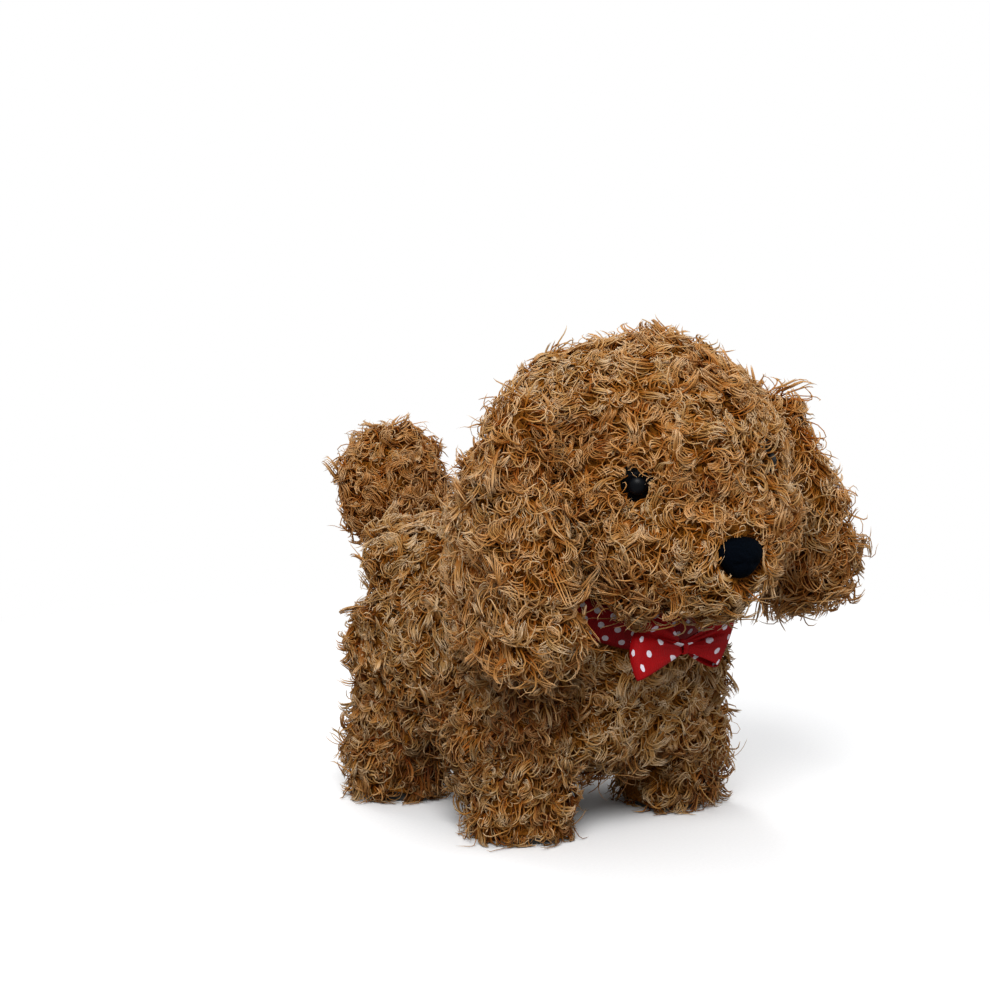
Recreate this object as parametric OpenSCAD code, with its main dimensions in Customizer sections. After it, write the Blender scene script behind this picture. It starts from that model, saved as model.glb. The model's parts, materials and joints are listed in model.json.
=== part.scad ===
// Walking plush puppy: a geared plastic walker inside a curly plush skin.
// Millimetres, +Z up. The face looks along -Y and the puppy's right side is -X.
// Every module is laid out about the middle of the four feet, on the floor. placed() then moves
// the whole toy so that the origin is on the floor under the middle of its length.

/* [Legs] */
// Distance between the left and right leg centres
track = 66; // [65:0.5:68]
// Distance between the front and rear hip axes
wheelbase = 71; // [70:0.5:72]
// Height of the hip axes above the floor
hip_z = 50; // [50:0.5:51]
// Radius of the plush round each foot
foot_r = 16; // [15.5:0.5:16.5]
// Radius of the plush disc round each hip
hip_r = 21.5; // [20.5:0.5:23.5]

/* [Body] */
// Half width of the plush body
body_half_w = 44; // [43:0.5:46]
// Height of the plush back above the floor
body_top = 101; // [100:0.5:104]
// Furthest forward point of the chest
chest_y = -60; // [-62:0.5:-59]
// Furthest back point of the rump
rump_y = 54; // [53:0.5:57]

/* [Head] */
// Distance of the head centre ahead of the origin
head_y = -59; // [-60:0.5:-58]
// Height of the head centre above the floor
head_z = 124; // [123:0.5:126]
// Radius of the plush head ball
head_r = 45; // [43:0.5:45]
// Turn of the plush face towards the puppy's right, in degrees
face_turn = 12; // [8:1:13]
// Sideways tip of the plush face, left ear up, in degrees
face_tip = 5; // [0:1:6]

/* [Tail] */
// Height of the tail wag axis
tail_z = 74; // [73:0.5:75]
// Distance of the tail ball centre behind the origin
tail_y = 79; // [77:0.5:82]

/* [Gears] */
// Tooth module of every gear
gear_m = 0.5; // [0.5:0.5:0.5]
// Teeth on each pinion
pinion_teeth = 10; // [10:1:10]
// Teeth on each large gear
wheel_teeth = 36; // [36:1:36]

/* [Hidden] */
$fn = 48;

// Leg stations
leg_x = track / 2;
hip_y = wheelbase / 2;
run = 0.05;             // radial running clearance of every turning fit
gap = 0.5;              // clearance between soft parts and their neighbours
pocket_gap = 0.7;       // clearance between the leg plush and the body plush

// Casing: a rounded box split on the centre plane
case_half_w = 27.5;
case_half_l = 44;
case_bottom = 26;
case_top = 88;
case_wall = 2;
case_corner = 9;
screw_y = 38.5;
screw_low_z = 32;
screw_high_z = 82.5;

// Hip shaft and lever
shaft_r = 2.5;
lever_len = 13;
lever_in = 21.8;        // |x| of the lever's inner face
lever_out = 24.3;
lever_pin_r = 1.5;
rod_in = 19.3;
rod_out = 21.3;
rod_z = hip_z + lever_len;
swing = 10;             // leg swing each way, degrees

// Crank
crank_y = -6;
crank_z = rod_z;
crank_throw = lever_len * sin(swing);
crank_r = 1.5;
disc_in = 15.5;
disc_out = 17.5;

// Gears: stub teeth, 25 degree pressure angle
pressure = 25;
addendum = 0.8;
dedendum = 1.05;
backlash = 0.06;
face_w = 3;
centre_d = gear_m * (pinion_teeth + wheel_teeth) / 2;
plane_1 = -10.5;        // low x of the crank gear's plane
plane_2 = -6.5;
plane_3 = -2.5;
second_angle = 60;
first_angle = 0;
motor_angle = 20;
second_y = crank_y + centre_d * cos(second_angle);
second_z = crank_z + centre_d * sin(second_angle);
first_y = second_y + centre_d * cos(first_angle);
first_z = second_z + centre_d * sin(first_angle);
motor_y = first_y + centre_d * cos(motor_angle);
motor_z = first_z + centre_d * sin(motor_angle);
plate_t = 1.5;
plate_right = -12.5;    // low x of the right plate
plate_left = 2;
axle_r = 1;

// Batteries: two AA cells side by side
cell_r = 7.15;
cell_len = 49.5;
cell_x = 7.4;
cell_z = 36;
tray_top = 45;
tray_half_w = 16.4;
tray_half_l = 28.4;
tray_wall = 1.1;
door_half_w = 15.5;
door_front = -27.5;
door_back = 35;
door_t = 1.6;
door_screw_y = 31.5;
opening_half_w = 15.1;
opening_half_l = 26;

// Switch
switch_y = -32.1;
switch_travel = 3;
switch_half_l = 3.2;

// Loudspeaker
speaker_z = 64;

// Head
head_shell_r = 31;
head_shell_wall = 2;
post_half_w = 5;
post_base_y = -33;
nod_pin_r = 2;
neck_dir = [0, post_base_y - head_y, case_top - head_z];
nose_pos = [2.4, -49.4, -21.6];   // middle of the nose's back, in the face frame
ear_x = head_r + 13;         // hanging middle of each ear, out from the face's centre

// Tail
tail_shaft_r = 2.5;
tail_bend_y = 61;
tail_ball_z = 103;

// Collar: a ring round the neck, tipped forward
collar_r = 37;
collar_w = 14;
collar_t = 1.2;
collar_pos = [0, -42, 88];
collar_tip = 27;
bow_pos = [0, -80.5, 69];

// Ends of the whole toy: nose tip and back of the tail ball
nose_end_y = head_y - 55.9 * cos(face_turn) - 0.7;
tail_end_y = tail_y + 18;

// ---------- helpers ----------

// A rounded rectangle from squares and circles
module rounded_rect(w, h, r) {
    square([w - 2 * r, h], center = true);
    square([w, h - 2 * r], center = true);
    for (x = [-1, 1], y = [-1, 1]) translate([x * (w / 2 - r), y * (h / 2 - r)]) circle(r);
}

// Extrude a shape drawn in Y and Z along X, from x0 to x1
module along_x(x0, x1) {
    translate([x0, 0, 0]) rotate([90, 0, 90]) linear_extrude(x1 - x0) children();
}

// A round bar along X, from x0 to x1, at (y, z)
module bar_x(r, x0, x1, y, z) {
    translate([x0, y, z]) rotate([0, 90, 0]) cylinder(r = r, h = x1 - x0);
}

module bar_y(r, y0, y1, x, z) {
    translate([x, y0, z]) rotate([-90, 0, 0]) cylinder(r = r, h = y1 - y0);
}

module bar_z(r, z0, z1, x, y) {
    translate([x, y, z0]) cylinder(r = r, h = z1 - z0);
}

// A round bar from point a to point b
module rod(a, b, r) {
    v = b - a;
    h = norm(v);
    translate(a) rotate([0, acos(v[2] / h), atan2(v[1], v[0])]) cylinder(r = r, h = h);
}

// A box from its low corner to its high corner
module block(low, high) {
    translate(low) cube(high - low);
}

// Mirror to the puppy's right (side = -1) or leave on its left (side = 1)
module on_side(side) {
    mirror([side < 0 ? 1 : 0, 0, 0]) children();
}

// Superellipse outline, n = 2 is an ellipse and larger n is squarer
function superellipse(a, b, n, steps) = [
    for (i = [0 : steps - 1])
        let (t = 360 * i / steps, c = cos(t), s = sin(t))
        [a * sign(c) * pow(abs(c), 2 / n), b * sign(s) * pow(abs(s), 2 / n)]
];

// Involute flank point at radius r, as [radius, angle from the tooth centre]
function involute_angle(r, base_r) = let (a = acos(min(1, base_r / r))) tan(a) * 180 / PI - a;
function flank(r, teeth) =
    let (pitch_r = gear_m * teeth / 2,
         base_r = pitch_r * cos(pressure),
         half = 90 / teeth - backlash / pitch_r * 90 / PI + involute_angle(pitch_r, base_r))
    half - involute_angle(max(r, base_r), base_r);

function gear_outline(teeth) =
    let (pitch_r = gear_m * teeth / 2,
         root_r = pitch_r - dedendum * gear_m,
         tip_r = pitch_r + addendum * gear_m,
         base_r = max(root_r + 0.02, pitch_r * cos(pressure)),
         radii = [root_r, base_r, (base_r + pitch_r) / 2, pitch_r, (pitch_r + tip_r) / 2, tip_r])
    [for (k = [0 : teeth - 1], side = [-1, 1], i = [0 : 5])
        let (r = radii[side < 0 ? i : 5 - i], a = 360 * k / teeth + side * flank(r, teeth))
        [r * cos(a), r * sin(a)]];

// A spur gear in its plane, with one tooth centre turned to angle `phase`
module spur(teeth, phase, x0, y, z) {
    along_x(x0, x0 + face_w) translate([y, z]) rotate(phase) polygon(gear_outline(teeth));
}

// ---------- casing ----------

module case_profile(inset) {
    translate([0, (case_bottom + case_top) / 2])
        rounded_rect(2 * (case_half_l - inset), case_top - case_bottom - 2 * inset, case_corner - inset);
}

module screw_stations() {
    for (p = [[-screw_y, screw_low_z], [screw_y, screw_low_z], [-screw_y, screw_high_z], [screw_y, screw_high_z]])
        translate([0, p[0], p[1]]) children();
}

// One casing half; side = -1 is the right half with the screw heads
module casing_half(side) {
    on_side(side) difference() {
        union() {
            difference() {
                along_x(0.05, case_half_w) case_profile(0);
                along_x(-1, case_half_w - case_wall) case_profile(case_wall);
            }
            intersection() {
                along_x(0.05, case_half_w) case_profile(case_wall / 2);
                screw_stations() bar_x(2.9, 0.05, case_half_w, 0, 0);
            }
            for (y = [-hip_y, hip_y]) bar_x(5, lever_out + 0.4, case_half_w - 1, y, hip_z);
            block([0.05, door_screw_y - 3, case_bottom + 1], [3.5, door_screw_y + 3, case_bottom + 9]);
            for (y = [-24.5, 34])
                block([0.05, y - 1, case_top - 6], [8, y + 1, case_top - 1]);
        }
        for (y = [-hip_y, hip_y]) bar_x(shaft_r + run, 20, 40, y, hip_z);
        screw_stations() {
            rotate([0, 90, 0]) cylinder(r = side < 0 ? 1.4 : 1.1, h = side < 0 ? 60 : 18);
            if (side < 0) translate([case_half_w - 2.4, 0, 0]) rotate([0, 90, 0]) cylinder(r = 2.4, h = 5);
        }
        block([-1, -opening_half_l, case_bottom - 1], [opening_half_w, opening_half_l, case_bottom + case_wall + 1]);
        bar_z(1.2, case_bottom - 1, case_bottom + 12, 0, door_screw_y);
        block([-1, switch_y - 2, case_bottom - 1], [4.2, switch_y + 2, case_bottom + 3]);
        bar_y(tail_shaft_r + run, case_half_l - 4, case_half_l + 1, 0, tail_z);
        for (z = [speaker_z - 8 : 4 : speaker_z + 8])
            block([2, -case_half_l - 1, z - 0.7], [9, -case_half_l + 3, z + 0.7]);
    }
}

module casing_right() {
    color("gainsboro") casing_half(-1);
}

module casing_left() {
    color("gainsboro") casing_half(1);
}

// Four pan-head screws that hold the casing halves together
module casing_screws() {
    color("silver") screw_stations() difference() {
        union() {
            bar_x(1, -case_half_w + 2.2, 14, 0, 0);
            bar_x(2.1, -case_half_w + 0.7, -case_half_w + 2.35, 0, 0);
        }
        for (a = [0, 90]) rotate([a, 0, 0])
            block([-case_half_w, -1.5, -0.25], [-case_half_w + 1.4, 1.5, 0.25]);
    }
}

// ---------- drive ----------

// Two plates that carry the gear axles, with three spacers between them
module gearbox_plates() {
    spacers = [[crank_y - 7, crank_z + 14], [first_y + 8, first_z - 12], [crank_y - 6.5, crank_z - 13]];
    color("ivory") difference() {
        union() {
            for (x = [plate_right, plate_left]) along_x(x, x + plate_t) difference() {
                translate([5, 66.5]) rounded_rect(36, 38, 4);
                translate([motor_y, motor_z]) circle(4.2);
            }
            for (p = spacers) bar_x(1.8, plate_right, plate_left + plate_t, p[0], p[1]);
        }
        bar_x(crank_r + run, -30, 30, crank_y, crank_z);
        for (p = [[second_y, second_z], [first_y, first_z]]) bar_x(axle_r + 0.02, -30, 30, p[0], p[1]);
    }
}

// Steel pins that the first and second gears turn on
module gear_axles() {
    color("silver") for (p = [[second_y, second_z], [first_y, first_z]])
        bar_x(axle_r, plate_right - 0.3, plate_left + plate_t + 0.1, p[0], p[1]);
}

// Flat-sided can motor fixed to the left plate, shaft towards -X
module motor() {
    x0 = plate_left + plate_t + 0.2;
    can_len = 20;
    color("lightgray") difference() {
        union() {
            intersection() {
                bar_x(10, x0, x0 + can_len, motor_y, motor_z);
                block([x0, motor_y - 11, motor_z - 7.7], [x0 + can_len, motor_y + 11, motor_z + 7.7]);
            }
            bar_x(3, x0 - 1.4, x0 + 1, motor_y, motor_z);
            bar_x(2.6, x0 + can_len - 1, x0 + can_len + 0.6, motor_y, motor_z);
        }
        bar_x(axle_r + run, x0 - 3, x0 + 8, motor_y, motor_z);
    }
}

// Rotor shaft end with its moulded pinion
module motor_pinion() {
    color("goldenrod") union() {
        bar_x(axle_r, plane_3 - 0.4, plate_left + plate_t + 7, motor_y, motor_z);
        spur(pinion_teeth, motor_angle + 180 + 180 / pinion_teeth, plane_3, motor_y, motor_z);
    }
}

// A compound gear: large wheel in one plane, pinion in the next
module compound(wheel_x, pinion_x, wheel_phase, pinion_phase, y, z) {
    difference() {
        union() {
            spur(wheel_teeth, wheel_phase, wheel_x, y, z);
            spur(pinion_teeth, pinion_phase, pinion_x, y, z);
            bar_x(1.8, min(wheel_x, pinion_x), max(wheel_x, pinion_x) + face_w, y, z);
        }
        bar_x(axle_r + run, -30, 30, y, z);
    }
}

// Wheel meshes with the motor pinion, pinion drives the second gear
module first_gear() {
    color("white") compound(plane_3, plane_2, motor_angle, first_angle + 180 + 180 / pinion_teeth,
                            first_y, first_z);
}

module second_gear() {
    color("white") compound(plane_2, plane_1, first_angle, second_angle + 180 + 180 / pinion_teeth,
                            second_y, second_z);
}

module crank_gear() {
    color("white") difference() {
        union() {
            spur(wheel_teeth, second_angle, plane_1, crank_y, crank_z);
            bar_x(3.4, plane_1, plane_1 + face_w + 0.6, crank_y, crank_z);
        }
        bar_x(crank_r + 0.02, -30, 30, crank_y, crank_z);
    }
}

module crank_shaft() {
    color("silver") bar_x(crank_r, -disc_out, disc_out, crank_y, crank_z);
}

// Crank disc with its pin; the two pins stand half a turn apart
module crank_disc(side) {
    color("orange") on_side(side) difference() {
        union() {
            bar_x(5, disc_in, disc_out, crank_y, crank_z);
            bar_x(1.2, disc_out - 0.5, rod_in - 0.2, crank_y, crank_z - side * crank_throw);
        }
        bar_x(crank_r + 0.02, 10, disc_out + 0.01, crank_y, crank_z);
    }
}

module crank_disc_right() {
    crank_disc(-1);
}

module crank_disc_left() {
    crank_disc(1);
}

// Rod that joins the two hip levers of one side, with the slot that the crank pin works in
module side_rod(side) {
    color("orange") on_side(side) difference() {
        union() {
            block([rod_in, -hip_y, rod_z - 2.6], [rod_out, hip_y, rod_z + 2.6]);
            for (y = [-hip_y, hip_y]) bar_x(3.2, rod_in, rod_out, y, rod_z);
            block([rod_in, crank_y - 4.5, crank_z - 6.5], [rod_out, crank_y + 4.5, crank_z + 6.5]);
        }
        for (y = [-hip_y, hip_y]) bar_x(lever_pin_r + run, 10, 30, y, rod_z);
        block([rod_in - 1, crank_y - 1.35, crank_z - 4], [rod_out + 1, crank_y + 1.35, crank_z + 4]);
    }
}

module side_rod_right() {
    side_rod(-1);
}

module side_rod_left() {
    side_rod(1);
}

// ---------- legs ----------

// Hip shaft, its lever inside the casing and the pin that carries the side rod
module hip_lever(side, end) {
    y = end * hip_y;
    color("orange") on_side(side) union() {
        bar_x(shaft_r, lever_in, leg_x + 1, y, hip_z);
        bar_x(4, lever_in, lever_out, y, hip_z);
        bar_x(3, lever_in, lever_out, y, rod_z);
        block([lever_in, y - 2.6, hip_z], [lever_out, y + 2.6, rod_z]);
        bar_x(lever_pin_r, rod_in - 0.5, lever_in + 1, y, rod_z);
    }
}

// Outer leg: hip boss, ribbed bar and foot plate
module leg_frame(side, end) {
    y = end * hip_y;
    color("ivory") on_side(side) difference() {
        union() {
            bar_x(7, 29.5, leg_x + 2.5, y, hip_z);
            block([30, y - 5.5, 5], [leg_x + 2, y + 5.5, hip_z]);
            block([leg_x - 8, y - 1, 5], [leg_x + 8, y + 1, 14]);
            bar_z(12, 3.1, 6.5, leg_x, y);
        }
        bar_x(shaft_r + 0.02, 20, leg_x + 1.2, y, hip_z);
    }
}

// Non-slip sole, screwed under the foot plate
module foot_pad(side, end) {
    y = end * hip_y;
    color("dimgray") on_side(side) difference() {
        union() {
            bar_z(12.5, 0.6, 3, leg_x, y);
            bar_z(11.5, 0, 1, leg_x, y);
        }
        for (r = [4.5, 8]) translate([leg_x, y, -0.1]) difference() {
            cylinder(r = r + 0.6, h = 0.6);
            cylinder(r = r - 0.6, h = 0.6);
        }
    }
}

// Side outline of the leg plush: hip disc, tapering column and foot
module leg_outline(r, foot_half) {
    translate([0, hip_z]) circle(r);
    polygon([[-r, hip_z], [-foot_half, 14], [foot_half, 14], [r, hip_z]]);
}

// Plush round one leg, hollow for the leg frame
module leg_plush(side, end) {
    y = end * hip_y;
    color("peru") on_side(side) difference() {
        union() {
            translate([0, y, 0]) along_x(28.3, 46) leg_outline(hip_r, foot_r);
            translate([leg_x, y, 2]) cylinder(r = foot_r, h = 17);
        }
        bar_x(7 + gap, 20, leg_x + 3, y, hip_z);
        block([29.5, y - 6, 4], [leg_x + 2.5, y + 6, hip_z]);
        block([leg_x - 8.5, y - 1.5, 4], [leg_x + 8.5, y + 1.5, 14.5]);
        bar_z(12.5 + gap, 1, 7, leg_x, y);
    }
}

module leg_frame_front_right() {
    leg_frame(-1, -1);
}

module leg_frame_front_left() {
    leg_frame(1, -1);
}

module leg_frame_rear_right() {
    leg_frame(-1, 1);
}

module leg_frame_rear_left() {
    leg_frame(1, 1);
}

module hip_lever_front_right() {
    hip_lever(-1, -1);
}

module hip_lever_front_left() {
    hip_lever(1, -1);
}

module hip_lever_rear_right() {
    hip_lever(-1, 1);
}

module hip_lever_rear_left() {
    hip_lever(1, 1);
}

module foot_pad_front_right() {
    foot_pad(-1, -1);
}

module foot_pad_front_left() {
    foot_pad(1, -1);
}

module foot_pad_rear_right() {
    foot_pad(-1, 1);
}

module foot_pad_rear_left() {
    foot_pad(1, 1);
}

module leg_plush_front_right() {
    leg_plush(-1, -1);
}

module leg_plush_front_left() {
    leg_plush(1, -1);
}

module leg_plush_rear_right() {
    leg_plush(-1, 1);
}

module leg_plush_rear_left() {
    leg_plush(1, 1);
}

// ---------- power, switch and sound ----------

module battery_tray() {
    z0 = case_bottom + case_wall + 0.1;
    color("gainsboro") difference() {
        block([-tray_half_w, -tray_half_l, z0], [tray_half_w, tray_half_l, tray_top]);
        block([-tray_half_w + tray_wall, -tray_half_l + tray_wall, z0 - 1],
              [tray_half_w - tray_wall, tray_half_l - tray_wall, tray_top - tray_wall]);
        for (x = [-cell_x, cell_x], e = [-1, 1])
            block([x - 1, e * (tray_half_l - 0.5) - 1, 34], [x + 1, e * (tray_half_l - 0.5) + 1, 38]);
    }
}

// Two AA cells, laid opposite ways
module battery_cells() {
    color("seagreen") for (s = [-1, 1]) translate([s * cell_x, 0, cell_z]) {
        bar_y(cell_r, -cell_len / 2, cell_len / 2, 0, 0);
        bar_y(2.7, s > 0 ? cell_len / 2 - 1 : -cell_len / 2 - 0.9, s > 0 ? cell_len / 2 + 0.9 : -cell_len / 2 + 1, 0, 0);
    }
}

// Contact plates and coil springs at the two ends of the tray
module battery_contacts() {
    plate_y = tray_half_l - tray_wall - 0.1;
    color("silver") {
        for (e = [-1, 1]) block([-13, e > 0 ? plate_y - 0.4 : -plate_y, cell_z - 5],
                                [13, e > 0 ? plate_y : -plate_y + 0.4, cell_z + 5]);
        for (s = [-1, 1], k = [0 : 1]) translate([s * cell_x, -s * (plate_y - 0.7 - 0.85 * k), cell_z])
            rotate([90, 0, 0]) rotate_extrude() translate([4.2 - k, 0]) circle(0.42, $fn = 16);
    }
}

// Screwed cover over the cells, with a rim that sits in the casing's opening
module battery_door() {
    z1 = case_bottom - 0.2;
    rim = opening_half_w - 0.5;
    color("gainsboro") difference() {
        union() {
            block([-door_half_w, door_front, z1 - door_t], [door_half_w, door_back, z1]);
            difference() {
                block([-rim, -opening_half_l + 0.4, z1 - 0.5], [rim, opening_half_l - 0.4, z1 + 1.8]);
                block([-rim + 1, -opening_half_l + 1.4, z1 - 0.2], [rim - 1, opening_half_l - 1.4, z1 + 3]);
            }
        }
        for (k = [-2 : 2]) block([-8, -20 + 1.6 * k, z1 - door_t - 1], [8, -19.2 + 1.6 * k, z1 - door_t + 0.4]);
        bar_z(1.3, z1 - 5, z1 + 1, 0, door_screw_y);
        bar_z(2.4, z1 - 5, z1 - door_t + 0.9, 0, door_screw_y);
    }
}

module door_screw() {
    z1 = case_bottom - 0.2 - door_t;
    color("silver") difference() {
        union() {
            bar_z(1, z1 + 0.9, case_bottom + 8, 0, door_screw_y);
            bar_z(2.1, z1, z1 + 0.85, 0, door_screw_y);
            bar_z(1, z1 + 0.5, z1 + 1.5, 0, door_screw_y);
        }
        for (a = [0, 90]) translate([0, door_screw_y, z1]) rotate([0, 0, a]) cube([3, 0.5, 1], center = true);
    }
}

module switch_housing() {
    z0 = case_bottom + case_wall + 0.1;
    color("dimgray") difference() {
        block([-7, switch_y - switch_half_l, z0], [7, switch_y + switch_half_l, z0 + 6]);
        block([-5, switch_y - switch_half_l + 0.8, z0 - 1], [5, switch_y + switch_half_l - 0.8, z0 + 3.5]);
    }
}

// Off at rest, on when pushed towards +X
module switch_slider() {
    z0 = case_bottom + case_wall + 0.1;
    x0 = -switch_travel / 2;
    color("black") union() {
        block([x0 - 3, switch_y - 2.2, z0 + 0.2], [x0 + 3, switch_y + 2.2, z0 + 3.2]);
        block([x0 - 1.8, switch_y - 1.7, case_bottom - 2.4], [x0 + 1.8, switch_y + 1.7, z0 + 1]);
        for (k = [-1 : 1]) bar_y(0.5, switch_y - 1.7, switch_y + 1.7, x0 + 1.2 * k, case_bottom - 2.4);
    }
}

module circuit_board() {
    y0 = -20;
    color("darkgreen") difference() {
        union() {
            block([-14, y0, 50], [14, y0 + 1.6, 85]);
            block([-5, y0 - 1.4, 60], [5, y0 + 0.5, 68]);
            block([6, y0 - 5, 74], [12, y0 + 0.5, 79]);
            bar_y(3, y0 - 7, y0 + 0.5, -8, 78);
            bar_y(1.8, y0 - 5, y0 + 0.5, -9.5, 56);
        }
        for (x = [-11.5, 11.5], z = [52.5, 82.5]) bar_y(1.1, y0 - 1, y0 + 3, x, z);
    }
}

// Loudspeaker behind the slots in the casing's front wall
module speaker() {
    color("dimgray") translate([0, -case_half_l + case_wall + 0.3, speaker_z]) rotate([-90, 0, 0])
        rotate_extrude() difference() {
            polygon([[0, 1.2], [5, 0.8], [11.5, 0], [14, 0], [14, 2.2], [12.5, 4.5], [7.5, 5], [7.5, 9], [0, 9]]);
            translate([9, 0]) circle(0.9, $fn = 24);
        }
}

// One insulated wire through a list of points, with a bead at each bend
module wire(points) {
    for (i = [0 : len(points) - 2]) {
        rod(points[i], points[i + 1], 0.5);
        if (i > 0) translate(points[i]) sphere(r = 0.65);
    }
}

module wires() {
    color("red") {
        wire([[9, -17.8, 80], [12, -10, 84.5], [16, 18, 85.3], [16, motor_y, motor_z + 8.4]]);
        wire([[5, -17.8, 80], [7, -10, 85], [9, 18, 85.3], [10, motor_y, motor_z + 8.4]]);
        wire([[11, -17.8, 54], [14.5, -17, 49], [14.5, -20, tray_top + 0.8]]);
        wire([[-5, -17.8, 54], [-5, -17, 49], [-5, -14, tray_top + 0.8]]);
        wire([[3, -30, 58], [3, -27, 54], [3, -20.8, 54]]);
    }
}

// ---------- head ----------

// Place children at the head centre
module at_head() {
    translate([0, head_y, head_z]) children();
}

// Place children at the head centre, turned and tipped as the plush face sits
module at_face() {
    at_head() rotate([0, -face_tip, -face_turn]) children();
}

// Room that the neck post needs to swing through at the back of the head
module neck_opening(r, from) {
    dir = neck_dir / norm(neck_dir);
    at_head() rotate([atan2(-dir[1], dir[2]), 0, 0]) translate([0, 0, from]) cylinder(r = r, h = 60);
}

module neck_post() {
    base_z = case_top + 0.1;
    color("gainsboro") difference() {
        union() {
            block([-11, post_base_y - 9, base_z], [11, post_base_y + 9, base_z + 2.4]);
            along_x(-post_half_w, post_half_w) {
                polygon([[post_base_y - 8, base_z], [post_base_y + 6, base_z],
                         [head_y + 5.5, head_z - 3], [head_y - 5.5, head_z - 3]]);
                translate([head_y, head_z]) circle(6.5);
            }
        }
        bar_x(nod_pin_r + run, -20, 20, head_y, head_z);
    }
}

module nod_pin() {
    color("silver") bar_x(nod_pin_r, -18, 18, head_y, head_z);
}

// Half of the hard head ball, turned about X, with the boss that holds the nod pin
module head_shell(side) {
    boss_in = post_half_w + 0.4;
    boss_r = 5;
    pin_end = 18.2;
    color("gainsboro") difference() {
        on_side(side) at_head() rotate([0, 90, 0]) rotate_extrude() {
            intersection() {
                difference() {
                    circle(head_shell_r);
                    circle(head_shell_r - head_shell_wall);
                }
                translate([0, 0.05]) square(head_shell_r + 5);
            }
            translate([nod_pin_r + 0.02, boss_in])
                square([boss_r - nod_pin_r - 0.02, head_shell_r - 1.7 - boss_in]);
            translate([0, pin_end]) square([boss_r, 2]);
        }
        neck_opening(17, 12);
    }
}

module head_shell_right() {
    head_shell(-1);
}

module head_shell_left() {
    head_shell(1);
}

// Stuffed head: dome, cheeks and muzzle round the hard ball
module head_plush() {
    color("peru") difference() {
        at_face() difference() {
            union() {
                sphere(r = head_r, $fn = 64);
                for (s = [-1, 1]) translate([s * 15, -27, -15]) sphere(r = 20, $fn = 48);
                translate([0, -33, -21]) sphere(r = 20, $fn = 48);
            }
            translate(nose_pos + [0, 0.4, 0]) rotate([90, 0, 0]) cylinder(r = 8.4, h = 20);
            for (s = [-1, 1]) eye_place(s) sphere(r = 4.3);
        }
        at_head() sphere(r = head_shell_r + gap, $fn = 64);
        neck_opening(20.5, 12);
    }
}

module eye_place(s) {
    rotate([0, 0, s * 35]) translate([0, -head_r + 2.2, 4.3]) children();
}

// Soft nose pressed into the muzzle
module nose() {
    color("black") at_face() translate(nose_pos) rotate([90, 0, 0]) rotate_extrude()
        intersection() {
            union() {
                square([7.9, 3]);
                translate([0, -9]) circle(15.5);
            }
            square([7.9, 12]);
        }
}

module eyes() {
    color("black") at_face() for (s = [-1, 1]) eye_place(s) sphere(r = 4);
}

// Hanging ear: a flat padded drop beside the head, flat inside where it hangs past the body.
// root is the middle of its sewn top, root_r the roundness there and root_w half its spread.
// front moves the hanging front edge forward.
module ear(side, root, root_r, root_w, front) {
    color("peru") difference() {
        at_face() on_side(side) hull() {
            for (y = [-root_w, root_w]) translate(root + [0, y, 0]) sphere(r = root_r, $fn = 24);
            for (y = [-16 - front, 12]) translate([ear_x, y, -18]) sphere(r = 10, $fn = 24);
            for (y = [-11 - front, 7]) translate([ear_x, y, -46]) sphere(r = 9, $fn = 24);
        }
        on_side(side) block([0, head_y - 60, 40], [46.7, head_y + 50, 84]);
    }
}

module ear_right() {
    ear(-1, [head_r + 8, -4.3, 24], 9, 4.6, 6.4);
}

module ear_left() {
    ear(1, [head_r + 6.8, -2, 14], 7, 3, 0);
}

// ---------- tail ----------

// Tail shaft with the inside lever that the walker rocks
module tail_lever() {
    color("orange") difference() {
        union() {
            bar_y(tail_shaft_r, case_half_l - 8, 50, 0, tail_z);
            bar_y(3.4, case_half_l - 8, case_half_l - 5.5, 0, tail_z);
            block([-1.6, case_half_l - 8, tail_z - 17], [1.6, case_half_l - 5.5, tail_z]);
        }
        block([-0.8, case_half_l - 9, tail_z - 18], [0.8, case_half_l - 5, tail_z - 11]);
    }
}

// Points of the tail arm outside the rump: bend, foot of the ball and tip
tail_path = [[0, tail_bend_y, tail_z], [0, tail_y - 2, tail_ball_z - 8], [0, tail_y, tail_ball_z + 6]];

// Bars and balls along the tail path
module tail_wire(r) {
    rod(tail_path[0], tail_path[1], r);
    rod(tail_path[1], tail_path[2], r);
    for (p = tail_path) translate(p) sphere(r = r + 0.5);
}

// Outer tail arm, pushed on the shaft and bent up into the tail ball
module tail_arm() {
    color("ivory") difference() {
        union() {
            bar_y(4, 46, 56, 0, tail_z);
            bar_y(2, 55, tail_bend_y, 0, tail_z);
            tail_wire(2.2);
        }
        bar_y(tail_shaft_r + 0.02, 40, 50.2, 0, tail_z);
    }
}

// Plush tail ball, hollow for the arm
module tail_plush() {
    color("peru") difference() {
        union() {
            translate([0, tail_y - 1, tail_ball_z - 3]) sphere(r = 18);
            translate([0, tail_y + 1, tail_ball_z + 5]) sphere(r = 17);
        }
        tail_wire(2.8);
    }
}

// ---------- body plush and ribbon ----------

// Loaf shape of the body from its side, front and top outlines
module body_form() {
    mid_y = (chest_y + rump_y) / 2;
    half_l = (rump_y - chest_y) / 2;
    low = 18;
    half_h = (body_top - low) / 2;
    intersection() {
        along_x(-60, 60) translate([mid_y, low + half_h]) polygon(superellipse(half_l, half_h, 3.6, 40));
        rotate([90, 0, 0]) translate([0, 0, -80]) linear_extrude(160)
            translate([0, low + half_h]) polygon(superellipse(body_half_w, half_h, 2.6, 40));
        translate([0, mid_y, 0]) linear_extrude(150) polygon(superellipse(body_half_w, half_l, 3.4, 40));
    }
}

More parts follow.
